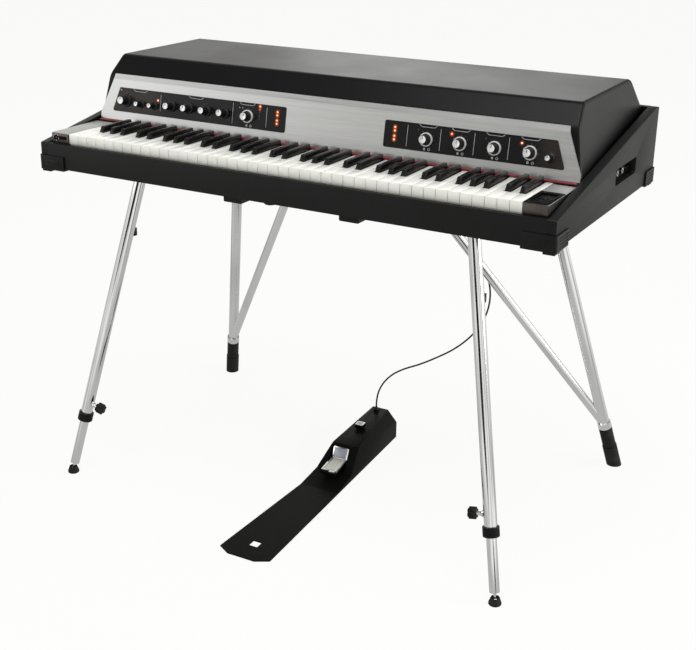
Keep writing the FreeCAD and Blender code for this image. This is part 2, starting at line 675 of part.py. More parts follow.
def hood_outline(inset):
    """Side view of the hood, drawn in from the outer face by inset."""
    y0 = HOOD_FRONT
    rear = CASE_DEPTH - REAR_BOARD - HOOD_CLEARANCE
    outer = [(y0, HOOD_BOTTOM), (y0 + HOOD_BREAK_RISE * math.tan(LEAN), HOOD_BOTTOM + HOOD_BREAK_RISE),
             (y0 + HOOD_TOP_FRONT_Y, HOOD_BOTTOM + HOOD_HEIGHT),
             (y0 + HOOD_TOP_REAR_Y, HOOD_BOTTOM + HOOD_HEIGHT + HOOD_CROWN),
             (rear, HOOD_BOTTOM + HOOD_REAR_SHOULDER), (rear, HOOD_BOTTOM)]
    radii = [0, HOOD_BREAK_RADIUS, HOOD_FRONT_RADIUS, HOOD_REAR_RADIUS, HOOD_FRONT_RADIUS, 0]
    if inset == 0:
        return outer, radii
    lines = []
    for i in range(len(outer) - 1):
        (ya, za), (yb, zb) = outer[i], outer[i + 1]
        length = math.hypot(yb - ya, zb - za)
        normal = ((zb - za) / length, -(yb - ya) / length)
        lines.append(((ya + normal[0] * inset, za + normal[1] * inset), (yb - ya, zb - za)))
    points = []
    for i in range(len(lines) - 1):
        (p, d), (q, e) = lines[i], lines[i + 1]
        cross = d[0] * e[1] - d[1] * e[0]
        share = ((q[0] - p[0]) * e[1] - (q[1] - p[1]) * e[0]) / cross
        points.append((p[0] + d[0] * share, p[1] + d[1] * share))
    first = lines[0]
    drop = (HOOD_BOTTOM - 1 - first[0][1]) / first[1][1]
    start = (first[0][0] + first[1][0] * drop, HOOD_BOTTOM - 1)
    end = (lines[-1][0][0], HOOD_BOTTOM - 1)
    shrunk = [max(r - inset, 0) for r in radii]
    return [start] + points + [end], shrunk


def hood_body(inset):
    """The hood as a solid block, with leaning ends, drawn in by inset."""
    points, radii = hood_outline(inset)
    wire = rounded_wire([Vec(-HALF, y, z) for y, z in points], radii)
    body = Part.Face(wire).extrude(Vec(2 * HALF, 0, 0))
    half = INNER - HOOD_CLEARANCE - inset / math.cos(math.radians(HOOD_END_DRAFT))
    rise = HOOD_HEIGHT + 20
    lean = rise * math.tan(math.radians(HOOD_END_DRAFT))
    ends = prism_y(((-half, HOOD_BOTTOM), (half, HOOD_BOTTOM), (half - lean, HOOD_BOTTOM + rise),
                    (lean - half, HOOD_BOTTOM + rise)), 0, CASE_DEPTH)
    skirt = box((-half, half), (0, CASE_DEPTH), (HOOD_BOTTOM - 1, HOOD_BOTTOM))
    return body.common(ends.fuse(skirt))


def hood(panel):
    """Moulded hood over the harp, open below, with windows behind the fascias."""
    outer = hood_body(0)
    limit = HOOD_BOTTOM + 1
    rim = [e for e in outer.Edges if e.BoundBox.ZMax > limit
           and abs(e.CenterOfMass.x) > HALF - HOOD_END_ZONE and e.BoundBox.XLength < HALF]
    outer = outer.makeFillet(HOOD_END_RADIUS, rim)
    shell = outer.cut(hood_body(HOOD_WALL))
    for low, high in ((LEFT_FASCIA[1], LEFT_FASCIA[2]), (RIGHT_FASCIA[2], RIGHT_FASCIA[1])):
        window = Part.makeBox(high - low, FASCIA_TOP - FASCIA_BOTTOM, 3 * HOOD_WALL,
                              Vec(low, FASCIA_BOTTOM, -3 * HOOD_WALL))
        shell = shell.cut(on_panel(window))
    return {"hood": [max(shell.cut(panel).Solids, key=lambda solid: solid.Volume)]}


def hood_cleats():
    """Ledges inside the side boards that carry the hood, the right one open at the jacks."""
    rear = CASE_DEPTH - REAR_BOARD
    level = (HOOD_BOTTOM - CLEAT, HOOD_BOTTOM)
    ledge = box((INNER - CLEAT, INNER), (CLEAT_START, rear), level)
    gap = [JACK_BAY_Y[0] - 2 * JACK_PLATE_LAP, JACK_BAY_Y[1] + 2 * JACK_PLATE_LAP]
    right = ledge.cut(box((0, HALF), gap, level))
    return {"right": right, "left": mirrored(ledge)}


def panel_outline():
    """Front view of the control panel, in x and height along the slope."""
    top = PANEL_HEIGHT + PANEL_STRIP
    right = ((PANEL_HALF_BOTTOM, PANEL_LOW), (PANEL_HALF_BOTTOM, PANEL_SIDE_RISE),
             (PANEL_HALF_TOP, PANEL_HEIGHT), (PANEL_HALF_TOP - 2, top))
    return right + tuple((-x, s) for x, s in reversed(right))


def control_panel():
    """Brushed sheet across the hood, bent back along its top edge."""
    bend = math.radians(PANEL_STRIP_LEAN - PANEL_LEAN)
    half = PANEL_HALF_BOTTOM + 5
    top = (PANEL_HEIGHT + PANEL_STRIP * math.cos(bend), -PANEL_STRIP * math.sin(bend))
    back = (-math.sin(bend) * PANEL_SHEET, -math.cos(bend) * PANEL_SHEET)
    crease = -math.tan(bend / 2) * PANEL_SHEET
    side = ((0, 0), (PANEL_HEIGHT, 0), top, (top[0] + back[0], top[1] + back[1]),
            (PANEL_HEIGHT + crease, -PANEL_SHEET), (0, -PANEL_SHEET))
    loop = [Vec(-half, s, n) for s, n in side]
    sheet = Part.Face(Part.makePolygon(loop + loop[:1])).extrude(Vec(2 * half, 0, 0))
    outline = prism_z(panel_outline(), -30, 30)
    sheet = on_panel(sheet.common(outline))
    return sheet


def fascia(span):
    """One black control plate, slanted at its outer end."""
    outer_low, outer_high, inner = span
    corners = [Vec(x, s, 0) for x, s in ((outer_low, FASCIA_BOTTOM), (inner, FASCIA_BOTTOM),
                                         (inner, FASCIA_TOP), (outer_high, FASCIA_TOP))]
    wire = rounded_wire(corners, [FASCIA_CORNER] * 4)
    plate = Part.Face(wire).extrude(Vec(0, 0, FASCIA_SHEET))
    return plate


def shaft_hole(x, s):
    """The hole for one control shaft through the fascia and the panel."""
    return Part.makeCylinder(SHAFT_RADIUS + SHAFT_HOLE_GAP, 2 * POT_DEPTH, Vec(x, s, -POT_DEPTH), Z_AXIS)


def controls():
    """Control panel, fascias, knobs and the boards behind them."""
    panel = control_panel()
    fascias = [fascia(LEFT_FASCIA), fascia(RIGHT_FASCIA)]
    nodes = {}
    for name, x, s, kind in KNOBS:
        hole = shaft_hole(x, s)
        panel = panel.cut(on_panel(hole))
        fascias = [plate.cut(hole) for plate in fascias]
        nodes[name] = [on_panel(piece) for piece in knob(x, s, kind)]
    nodes["control_panel"] = [panel]
    nodes["control_fascias"] = [on_panel(plate) for plate in fascias]
    nodes["control_boards"] = [on_panel(control_board(LEFT_FASCIA[1], LEFT_FASCIA[2])),
                               on_panel(control_board(RIGHT_FASCIA[2], RIGHT_FASCIA[1]))]
    return nodes


def knob(x, s, kind):
    """A control knob on its shaft; the skirted kind has a bright ring round its foot."""
    skirt, skirt_height, foot, face, length = KNOB_SIZES[kind]
    low = FASCIA_SHEET + KNOB_STANDOFF
    shaft_low = -BOARD_GAP + KNOB_STANDOFF
    edge = 0.6
    if kind == "skirted":
        core = skirt - KNOB_RING
        ring = turned(((core, low), (skirt, low), (skirt, low + skirt_height - edge),
                       (skirt - edge, low + skirt_height), (core, low + skirt_height)), Vec(x, s, 0))
    else:
        core = skirt
        ring = None
    body = turned(((0, shaft_low), (SHAFT_RADIUS, shaft_low), (SHAFT_RADIUS, low), (core, low),
                   (core, low + skirt_height - 2 * edge), (foot, low + skirt_height),
                   (face, low + length - edge), (face - edge, low + length), (0, low + length)),
                  Vec(x, s, 0))
    return [body] if ring is None else [body, ring]


def control_board(x_low, x_high):
    """Circuit board with its potentiometers, held off the panel by posts."""
    back = -BOARD_GAP - POT_DEPTH
    inset = 3.0
    board = Part.makeBox(x_high - x_low - 2 * inset, FASCIA_TOP - FASCIA_BOTTOM - 2 * inset, BOARD_SHEET,
                         Vec(x_low + inset, FASCIA_BOTTOM + inset, back - BOARD_SHEET))
    pieces = []
    for _, x, s, _ in KNOBS:
        if x_low < x < x_high:
            pieces.append(Part.makeCylinder(POT_RADIUS, POT_DEPTH, Vec(x, s, back), Z_AXIS))
    for x in (x_low + 2 * inset + POST_RADIUS, x_high - 2 * inset - POST_RADIUS):
        for s in (FASCIA_BOTTOM + BOARD_MARGIN / 2, FASCIA_TOP - BOARD_MARGIN / 2):
            length = -PANEL_SHEET - back
            pieces.append(Part.makeCylinder(POST_RADIUS, length, Vec(x, s, back), Z_AXIS))
    return board.fuse(pieces)


def cheek_span():
    """Inner and outer x of the right cheek block."""
    return (KEYS_HALF + CHEEK_GAP, INNER - CHEEK_SIDE_GAP)


def headphone_place():
    """Axis of the headphone jack on the front of the left cheek block."""
    return (-cheek_span()[1] + HEADPHONE_INSET, KEY_TOP - WHITE_LIP / 2)


def cheek_blocks():
    """Blocks that close the keyboard at both ends."""
    inner, outer = cheek_span()
    right = box((inner, outer), (KEY_FRONT, CHEEK_REAR), (FLOOR_TOP, KEY_TOP))
    tops = [e for e in right.Edges if e.BoundBox.ZMin > KEY_TOP - 1e-6]
    right = right.makeChamfer(CHEEK_EDGE, tops)
    left = mirrored(right)
    middle = (inner + outer) / 2
    well_y = (KEY_FRONT + WELL_FRONT, KEY_FRONT + WELL_FRONT + WELL_SIZE[1])
    well = box((middle - WELL_SIZE[0] / 2, middle + WELL_SIZE[0] / 2), well_y,
               (KEY_TOP - WELL_DEPTH, KEY_TOP + 1))
    x, z = headphone_place()
    bore = Part.makeCylinder(JACK_BODY, JACK_DEPTH + 4, Vec(x, KEY_FRONT, z), Vec(0, 1, 0))
    left = left.cut(bore)
    return {"cheek_blocks": [left, right.cut(well)]}


def jack(place, axis, height):
    """A phone jack: body behind the face, ferrule in front, open bore."""
    outward = Vec(axis)
    body = Part.makeCylinder(JACK_BODY, JACK_DEPTH + 4, place, outward * -1)
    ferrule = Part.makeCylinder(JACK_FERRULE, height, place, outward)
    bore = Part.makeCylinder(JACK_RADIUS, JACK_DEPTH + height, place + outward * height, outward * -1)
    return body.fuse(ferrule).cut(bore).removeSplitter()


def jack_places():
    """Centres of the three jacks on the face of the jack plate."""
    low, high = bay_heights()
    level = (low + high) / 2 - JACK_DROP
    return [Vec(INNER, JACK_BAY_Y[0] + offset, level) for offset in JACK_PLACES]


def jacks():
    """Jack plate inside the right side board, its jacks, and the headphone jack."""
    low, high = bay_heights()
    plate_y = (JACK_BAY_Y[0] - JACK_PLATE_LAP, JACK_BAY_Y[1] + JACK_PLATE_LAP)
    plate = box((INNER - JACK_PLATE, INNER), plate_y, (low - JACK_PLATE_LAP, high + JACK_PLATE))
    sockets = []
    for place in jack_places():
        hole = Part.makeCylinder(JACK_BODY, 2 * JACK_PLATE, place - X_AXIS * JACK_PLATE, X_AXIS)
        plate = plate.cut(hole)
        sockets.append(jack(place, X_AXIS, JACK_FERRULE_HEIGHT))
    x, z = headphone_place()
    sockets.append(jack(Vec(x, KEY_FRONT, z), Vec(0, -1, 0), HEADPHONE_FERRULE))
    return {"jack_plate": [plate], "jack_sockets": sockets}


def felt():
    """Red felt strip between the keys and the hood."""
    strip = box((-FELT_HALF, FELT_HALF), (FELT_FRONT, FELT_FRONT + FELT_DEPTH),
                (HOOD_BOTTOM - FELT_THICK, HOOD_BOTTOM))
    return {"felt_strip": [strip]}


def leg_axis(top, foot):
    """Both ends of a right-hand leg, at the underside and on the floor."""
    return Vec(top[0], top[1], UNDERSIDE), Vec(foot[0], foot[1], 0)


def below(level):
    """A block that holds everything under a level."""
    reach = CASE_WIDTH
    return box((-reach, reach), (-reach, 2 * reach), (level - 2 * UNDERSIDE, level))


def above(level):
    """A block that holds everything over a level."""
    reach = CASE_WIDTH
    return box((-reach, reach), (-reach, 2 * reach), (level, level + 2 * UNDERSIDE))


def tube(start, end, radius, wall):
    """A round tube cut off flat at the underside of the case."""
    past = start + (start - end).normalize() * 2 * radius
    return rod(past, end, radius).cut(rod(past, end, radius - wall)).common(below(UNDERSIDE))


def clamp_direction(top, foot):
    """Unit vector square to the leg, pointing to the middle of the piano."""
    run = (foot - top).normalize()
    inward = X_AXIS * -1
    return (inward - run * inward.dot(run)).normalize()


def front_leg():
    """Pieces of the right front leg, by name."""
    top, foot = leg_axis(FRONT_TOP, FRONT_FOOT)
    end = along(top, foot, UPPER_END)
    run = (foot - top).normalize()
    upper = tube(top, end, UPPER_RADIUS, UPPER_WALL)
    collar_top = along(top, foot, COLLAR_START)
    collar_end = end + run * COLLAR_LIP
    collar = rod(collar_top, collar_end, COLLAR_RADIUS).cut(rod(collar_top, end, UPPER_RADIUS))
    collar = collar.cut(rod(collar_top, collar_end, LOWER_RADIUS + BUSH_GAP))
    clamp = along(top, foot, CLAMP_AT)
    side = clamp_direction(top, foot)
    hole = rod(clamp, clamp + side * CLAMP_OUT, CLAMP_STEM + BUSH_GAP)
    upper = upper.cut(hole)
    collar = collar.cut(hole)
    lower_end = along(top, foot, LOWER_END)
    ball = along(top, foot, 1 - BALL_HEIGHT / UNDERSIDE)
    lower = rod(along(top, foot, LOWER_START), lower_end, LOWER_RADIUS)
    screw = rod(along(top, foot, LOWER_END - 0.01), ball, SCREW_RADIUS)
    lower = lower.fuse([screw, Part.makeSphere(BALL_RADIUS, ball)])
    knob_start = clamp + side * CLAMP_OUT
    stem = rod(clamp + side * (LOWER_RADIUS + KNOB_STANDOFF), knob_start, CLAMP_STEM)
    star = clamp_knob(knob_start, side)
    clip_at = along(top, foot, LEG_CLIP_AT)
    clip = leg_clip(clip_at, run)
    return {
        "upper": [upper, collar, clip],
        "lower": [lower],
        "clamp": [stem.fuse(star)],
        "pad": [foot_pad(Vec(ball.x, ball.y, 0))],
    }


def clamp_knob(start, axis):
    """Lobed hand knob."""
    knob_body = Part.makeCylinder(CLAMP_RADIUS, CLAMP_LENGTH, Vec(0, 0, 0), Z_AXIS)
    for i in range(CLAMP_LOBES):
        angle = 2 * math.pi * i / CLAMP_LOBES
        centre = Vec(math.cos(angle), math.sin(angle), 0) * (CLAMP_RADIUS + 2)
        knob_body = knob_body.cut(Part.makeCylinder(CLAMP_RADIUS / 3, CLAMP_LENGTH, centre, Z_AXIS))
    knob_body.Placement = FreeCAD.Placement(start, FreeCAD.Rotation(Z_AXIS, axis))
    return knob_body


def leg_clip(centre, run):
    """Small plastic clip round the upper tube, with a lug towards the back."""
    half = 9.0
    wall = 2.0
    sleeve = rod(centre - run * half, centre + run * half, UPPER_RADIUS + wall)
    sleeve = sleeve.cut(rod(centre - run * half, centre + run * half, UPPER_RADIUS))
    lug = box((centre.x - 4, centre.x + 4), (centre.y + UPPER_RADIUS, centre.y + UPPER_RADIUS + 8),
              (centre.z - half / 2, centre.z + half / 2))
    lug = lug.cut(rod(centre - run * 2 * half, centre + run * 2 * half, UPPER_RADIUS))
    return sleeve.fuse(lug)


def foot_pad(base):
    """Cone foot that turns on the ball of the levelling screw."""
    mouth = BALL_HEIGHT + PAD_MOUTH_RISE
    pad = turned(((0, 0), (PAD_RADIUS - 1, 0), (PAD_RADIUS, 1), (PAD_RADIUS, 4),
                  (PAD_NECK + 1, PAD_HEIGHT), (0, PAD_HEIGHT)), base)
    pocket = Part.makeSphere(BALL_RADIUS + BUSH_GAP, base + Z_AXIS * BALL_HEIGHT)
    flare = Part.makeCone(PAD_MOUTH_RADIUS, PAD_NECK, PAD_HEIGHT - mouth,
                          base + Z_AXIS * mouth, Z_AXIS)
    return pad.cut(pocket).cut(flare)


def rear_leg():
    """Tube, brace and joining ring of the right rear leg, and its rubber tip."""
    top, foot = leg_axis(REAR_TOP, REAR_FOOT)
    run = (foot - top).normalize()
    tip_start = along(top, foot, TIP_START)
    waist = along(top, foot, TIP_WAIST)
    past = foot + run * TIP_FOOT_RADIUS
    leg = tube(top, waist, UPPER_RADIUS, UPPER_WALL)
    joint = along(top, foot, BRACE_AT)
    ring_start = joint - run * BRACE_RING_LENGTH / 2
    ring_end = joint + run * BRACE_RING_LENGTH / 2
    ring = rod(ring_start, ring_end, BRACE_RING).cut(rod(ring_start, ring_end, UPPER_RADIUS))
    brace_top = Vec(BRACE_TOP[0], BRACE_TOP[1], UNDERSIDE)
    brace = tube(brace_top, joint, BRACE_RADIUS, BRACE_WALL)
    brace = brace.cut(rod(top, waist, UPPER_RADIUS)).cut(rod(ring_start, ring_end, BRACE_RING))
    brace = max(brace.Solids, key=lambda solid: solid.Volume)
    sleeve = rod(tip_start, waist, TIP_RADIUS).cut(rod(tip_start, waist, UPPER_RADIUS))
    boot = rod(waist, past, TIP_FOOT_RADIUS).common(above(0))
    return {"leg": [leg, ring, brace], "tip": [sleeve.fuse(boot)]}


def socket(top, toward, radius, tube_radius):
    """Plate under the case with a sleeve that holds the top of a tube."""
    start, foot = leg_axis(top, toward)
    run = (foot - start).normalize()
    plate = Part.makeCylinder(radius, SOCKET_PLATE, Vec(start.x, start.y, UNDERSIDE - SOCKET_PLATE), Z_AXIS)
    sleeve = rod(start - run * 2 * tube_radius, start + run * SOCKET_SLEEVE, tube_radius + SOCKET_WALL)
    bore = rod(start - run * 3 * tube_radius, start + run * 2 * SOCKET_SLEEVE, tube_radius)
    return plate.fuse(sleeve.common(below(UNDERSIDE))).cut(bore).removeSplitter()


def underside_fittings():
    """Leg sockets, transport blocks and a rubber foot under the bottom board."""
    joint = along(*leg_axis(REAR_TOP, REAR_FOOT), BRACE_AT)
    brace_run = joint - Vec(*BRACE_TOP, UNDERSIDE)
    brace_foot = Vec(*BRACE_TOP, UNDERSIDE) + brace_run * (UNDERSIDE / -brace_run.z)
    right = [socket(FRONT_TOP, FRONT_FOOT, SOCKET_RADIUS, UPPER_RADIUS),
             socket(REAR_TOP, REAR_FOOT, SOCKET_RADIUS, UPPER_RADIUS),
             socket(BRACE_TOP, (brace_foot.x, brace_foot.y), BRACE_SOCKET_RADIUS, BRACE_RADIUS)]
    pieces = both(right)
    low = UNDERSIDE - BLOCK_HEIGHT
    for centre in BLOCK_CENTRES:
        block = box((centre - BLOCK_WIDTH / 2, centre + BLOCK_WIDTH / 2), BLOCK_Y, (low, UNDERSIDE))
        edges = [e for e in block.Edges if e.BoundBox.ZMax < low + 1e-6]
        pieces.append(block.makeChamfer(2.0, edges))
    low = UNDERSIDE - FOOT_HEIGHT
    pieces.append(turned(((0, 0), (FOOT_RADIUS - 3, 0), (FOOT_RADIUS, 2), (FOOT_RADIUS, FOOT_HEIGHT),
                          (0, FOOT_HEIGHT)), Vec(FOOT_X, FOOT_Y, low)))
    return pieces


def both(pieces):
    """Right-hand pieces and their left-hand twins."""
    return pieces + [mirrored(piece) for piece in pieces]


def legs():
    """All four legs."""
    front = front_leg()
    rear = rear_leg()
    flipped = {name: [mirrored(piece) for piece in pieces] for name, pieces in front.items()}
    return {
        "front_leg_tubes": both([front["upper"][0]]),
        "leg_fittings": both(front["upper"][1:]) + underside_fittings(),
        "right_lower_leg": front["lower"],
        "left_lower_leg": flipped["lower"],
        "right_clamp_knob": front["clamp"],
        "left_clamp_knob": flipped["clamp"],
        "right_levelling_foot": front["pad"],
        "left_levelling_foot": flipped["pad"],
        "rear_legs": both(rear["leg"]),
        "rear_leg_tips": both(rear["tip"]),
    }


def pedal_half(y):
    """Half the width of the tapering pedal at y."""
    share = (y - PEDAL_TIP_DEPTH) / (PEDAL_LENGTH - PEDAL_TIP_DEPTH)
    return PEDAL_HALF_FRONT + (PEDAL_HALF_REAR - PEDAL_HALF_FRONT) * share


def pedal_outline(start, inset=0.0):
    """Plan of the pedal from start to its rear end."""
    front = pedal_half(start) - inset
    rear = pedal_half(PEDAL_LENGTH) - inset
    end = PEDAL_LENGTH - inset
    return ((-front, start), (front, start), (rear, end), (-rear, end))


def beyond(facet, inset):
    """A block that holds everything outside a facet of the cover."""
    first, second, third = (Vec(*point) for point in facet)
    normal = (second - first).cross(third - first).normalize()
    if normal.z < 0:
        normal = normal * -1
    reach = PEDAL_LENGTH
    block = Part.makeBox(2 * reach, 2 * reach, reach, Vec(-reach, -reach, 0))
    block.Placement = FreeCAD.Placement(first - normal * inset, FreeCAD.Rotation(Z_AXIS, normal))
    return block


def pedal_base():
    """Flat steel floor plate with its square hole and the ears of the lever axle."""
    body = pedal_outline(PEDAL_TIP_DEPTH)
    plate = prism_z(((-PEDAL_TIP_HALF, 0), (PEDAL_TIP_HALF, 0)) + body[1:] + body[:1], 0, PEDAL_PLATE)
    half = PEDAL_HOLE / 2
    plate = plate.cut(box((-half, half), (PEDAL_HOLE_Y - half, PEDAL_HOLE_Y + half), (-1, PEDAL_PLATE + 1)))
    y, z = TREAD_PIVOT
    ear_x = (TREAD_HALF + KNOB_STANDOFF, TREAD_HALF + KNOB_STANDOFF + AXLE_EAR)
    ears = []
    for span in (ear_x, (-ear_x[1], -ear_x[0])):
        ear = box(span, (y - 2 * TREAD_AXLE, y + 2 * TREAD_AXLE), (PEDAL_PLATE, z + 2 * TREAD_AXLE))
        ears.append(ear.cut(Part.makeCylinder(TREAD_AXLE + TREAD_GAP, 4 * TREAD_HALF,
                                              Vec(-2 * TREAD_HALF, y, z), X_AXIS)))
    return plate.fuse(ears)


def cover_block(inset):
    """The outer form of the cover, drawn in by inset."""
    top = COVER_TOP[1] - inset
    profile = ((COVER_START + 2 * inset, PEDAL_PLATE), (COVER_RAMP[0] + inset, COVER_RAMP[1] - inset),
               (COVER_TOP[0] + inset, top), (PEDAL_LENGTH, top), (PEDAL_LENGTH, PEDAL_PLATE))
    solid = prism_x(profile, -PEDAL_HALF_FRONT, PEDAL_HALF_FRONT)
    solid = solid.common(prism_z(pedal_outline(COVER_START, inset), 0, COVER_TOP[1] + 1))
    return solid.cut(beyond(LEFT_FACET, inset)).cut(beyond(RIGHT_FACET, inset))


def pedal_cover():
    """Folded sheet cover with the slot for the lever and the holes on top."""
    cover = cover_block(0).cut(cover_block(COVER_SHEET))
    slot = box((-SLOT_HALF, SLOT_HALF), (COVER_RAMP[0], COVER_TOP[0] + COVER_TOP[1]), SLOT_HEIGHT)
    half = BUTTON_GUIDE / 2 + BUTTON_GAP
    x, y = BUTTON_PLACE
    top = (COVER_TOP[1] - 2 * COVER_SHEET, COVER_TOP[1] + 1)
    hole = box((x - half, x + half), (y - half, y + half), top)
    gland_hole = Part.makeCylinder(GLAND_RADIUS, top[1] - top[0], Vec(*GLAND_PLACE, top[0]), Z_AXIS)
    return cover.cut(slot).cut(hole).cut(gland_hole)


def pedal_tread():
    """Lever with its tread plate, bent up through the slot, on a cross axle."""
    y, z = TREAD_PIVOT
    outline = TREAD_UPPER + ((0, TREAD_HUB), (0, -TREAD_HUB)) + TREAD_LOWER
    lever = prism_x([(y + dy, z + dz) for dy, dz in outline], -TREAD_HALF, TREAD_HALF)
    hub = Part.makeCylinder(TREAD_HUB, 2 * TREAD_HALF, Vec(-TREAD_HALF, y, z), X_AXIS)
    pin = TREAD_HALF + KNOB_STANDOFF + AXLE_EAR
    axle = Part.makeCylinder(TREAD_AXLE, 2 * pin, Vec(-pin, y, z), X_AXIS)
    return lever.fuse([hub, axle]).removeSplitter()


def pedal_button():
    """Square push button on top of the pedal."""
    x, y = BUTTON_PLACE
    low = COVER_TOP[1] + BUTTON_TRAVEL + BUTTON_GAP
    high = low + BUTTON_HEIGHT
    half = BUTTON_SIZE / 2
    cap = box((x - half, x + half), (y - half, y + half), (low, high))
    cap = cap.makeChamfer(1.0, [e for e in cap.Edges if e.BoundBox.ZMin > high - 1e-6])
    guide = BUTTON_GUIDE / 2
    stem = box((x - guide, x + guide), (y - guide, y + guide), (COVER_TOP[1] - 3 * COVER_SHEET, low))
    return cap.fuse(stem).removeSplitter()


def cable_tube(points):
    """Straight runs joined by tangent arcs, swept with a round section."""
    corners = [Vec(point) for point in points]
    edges = []
    radii = []
    last = corners[0]
    for i in range(1, len(corners) - 1):
        before = corners[i - 1] - corners[i]
        after = corners[i + 1] - corners[i]
        turn = math.pi - before.getAngle(after)
        reach = CABLE_ARC_SHARE * min(before.Length, after.Length)
        radius = reach / math.tan(turn / 2)
        radii.append(radius)
        u, v = before.normalize(), after.normalize()
        start = corners[i] + u * reach
        end = corners[i] + v * reach
        bisector = (u + v).normalize()
        centre = corners[i] + bisector * (radius / math.cos(turn / 2))
        edges.append(Part.LineSegment(last, start).toShape())
        edges.append(Part.Arc(start, centre - bisector * radius, end).toShape())
        last = end
    edges.append(Part.LineSegment(last, corners[-1]).toShape())
    path = Part.Wire(edges)
    section = Part.Wire(Part.makeCircle(CABLE_RADIUS, corners[0], corners[1] - corners[0]))
    solid = path.makePipeShell([section], True, False)
    print("cable radii", [round(r, 1) for r in radii])
    print("cable length", round(path.Length, 1), "volume against section times length",
          round(solid.Volume / (math.pi * CABLE_RADIUS ** 2 * path.Length), 5))
    return solid


def cable_points():
    """Corner points of the cable, which leaves each gland upright."""
    turn = FreeCAD.Rotation(Z_AXIS, PEDAL_TURN)
    start = turn.multVec(Vec(*GLAND_PLACE, 0)) + Vec(*PEDAL_TIP, COVER_TOP[1] + GLAND_HEIGHT)
    middle = [Vec(x, y, UNDERSIDE + drop) for x, y, drop in CABLE_ROUTE]
    return [start, start + Z_AXIS * CABLE_RISE] + middle + [middle[-1] + Z_AXIS * CABLE_END_RISE]


def gland(base, reach, axis, flange):
    """Strain relief that narrows to the cable at the given reach."""
    neck = CABLE_RADIUS + 1.2
    profile = ((0, -flange), (GLAND_RADIUS, -flange), (GLAND_RADIUS, reach / 2), (neck, reach), (0, reach))
    return turned(profile, base, axis)


def cable():
    """Cable between the pedal and the case, and the gland at each end."""
    points = cable_points()
    first, last = points[0], points[-1]
    low = gland(first - Z_AXIS * GLAND_HEIGHT, GLAND_HEIGHT, Z_AXIS, 2 * COVER_SHEET)
    high = gland(Vec(last.x, last.y, UNDERSIDE), UNDERSIDE - last.z, Z_AXIS * -1, 0)
    plate = Part.makeCylinder(2 * GLAND_RADIUS, 3.0, Vec(last.x, last.y, UNDERSIDE - 3.0), Z_AXIS)
    return {"pedal_cable": [cable_tube(points)], "cable_glands": [low, high.fuse(plate)]}


def pedal():
    """The sustain pedal on the floor."""
    return {
        "pedal_base": [on_floor(pedal_base())],
        "pedal_cover": [on_floor(pedal_cover())],
        "pedal_tread": [on_floor(pedal_tread())],
        "pedal_button": [on_floor(pedal_button())],
    }


def all_nodes():
    """Every node by name, still set out from the case front."""
    nodes = case_boards()
    nodes.update(corner_protectors())
    nodes.update(keys())
    nodes.update(key_frame())
    nodes.update(hammer_action())
    nodes.update(harp())
    nodes.update(controls())
    nodes.update(hood(nodes["control_panel"][0]))
    for side, cleat in hood_cleats().items():
        nodes[side + "_side_panel"].append(cleat)
    nodes.update(cheek_blocks())
    nodes.update(jacks())
    nodes.update(felt())
    nodes.update(legs())
    nodes.update(pedal())
    nodes.update(cable())
    return nodes


def middle_y(nodes):
    """Halfway between the pedal's tip and the back of the rear feet."""
    front = min(piece.optimalBoundingBox().YMin for piece in nodes["pedal_base"])
    back = max(piece.optimalBoundingBox().YMax for piece in nodes["rear_leg_tips"])
    return (front + back) / 2


def save(nodes, shift):
    """Write one file for each node, moved so that the origin is under the middle."""
    os.makedirs(OUT, exist_ok=True)
    for name, pieces in nodes.items():
        solids = [solid for piece in pieces for solid in piece.Solids]
        shape = solids[0] if len(solids) == 1 else Part.makeCompound(solids)
        shape.translate(Vec(0, -shift, 0))
        shape.exportStep(os.path.join(OUT, name + ".step"))


NODES = all_nodes()
MIDDLE_Y = middle_y(NODES)
print("nodes", len(NODES), "shift", round(MIDDLE_Y, 3))
save(NODES, MIDDLE_Y)
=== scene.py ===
from math import atan, atan2, cos, dist, hypot, pi, radians, sin

import bmesh
import bpy
from mathutils import Matrix, Vector, noise


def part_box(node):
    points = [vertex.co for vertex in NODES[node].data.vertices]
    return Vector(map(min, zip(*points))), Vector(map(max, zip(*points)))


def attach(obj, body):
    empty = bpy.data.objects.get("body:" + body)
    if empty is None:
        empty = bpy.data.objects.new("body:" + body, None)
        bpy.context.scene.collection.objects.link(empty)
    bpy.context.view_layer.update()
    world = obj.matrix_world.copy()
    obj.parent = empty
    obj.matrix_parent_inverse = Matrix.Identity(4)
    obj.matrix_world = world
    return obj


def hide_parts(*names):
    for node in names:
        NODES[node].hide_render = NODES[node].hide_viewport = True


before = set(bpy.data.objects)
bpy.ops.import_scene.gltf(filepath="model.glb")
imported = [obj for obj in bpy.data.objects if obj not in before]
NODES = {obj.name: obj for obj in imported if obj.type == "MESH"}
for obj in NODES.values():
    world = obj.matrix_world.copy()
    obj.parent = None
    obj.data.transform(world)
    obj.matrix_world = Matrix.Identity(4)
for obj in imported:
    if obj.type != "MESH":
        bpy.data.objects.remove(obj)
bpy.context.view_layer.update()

MM = 0.001
CASE_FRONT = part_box("front_rail")[0].y
KEY_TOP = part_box("keys_c")[1].z
CASE_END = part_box("right_side_panel")[1].x
CASE_INNER = CASE_END - 18 * MM


def spot(x, y, z):
    """A point given in millimetres from the middle of the case front."""
    return Vector((x * MM, y * MM + CASE_FRONT, z * MM))


def moved(x, y=0.0, z=0.0):
    """A shift in millimetres."""
    return Matrix.Translation((x * MM, y * MM, z * MM))


def placed(name, data):
    """A new object in the scene."""
    made = bpy.data.objects.new(name, data)
    bpy.context.scene.collection.objects.link(made)
    return made


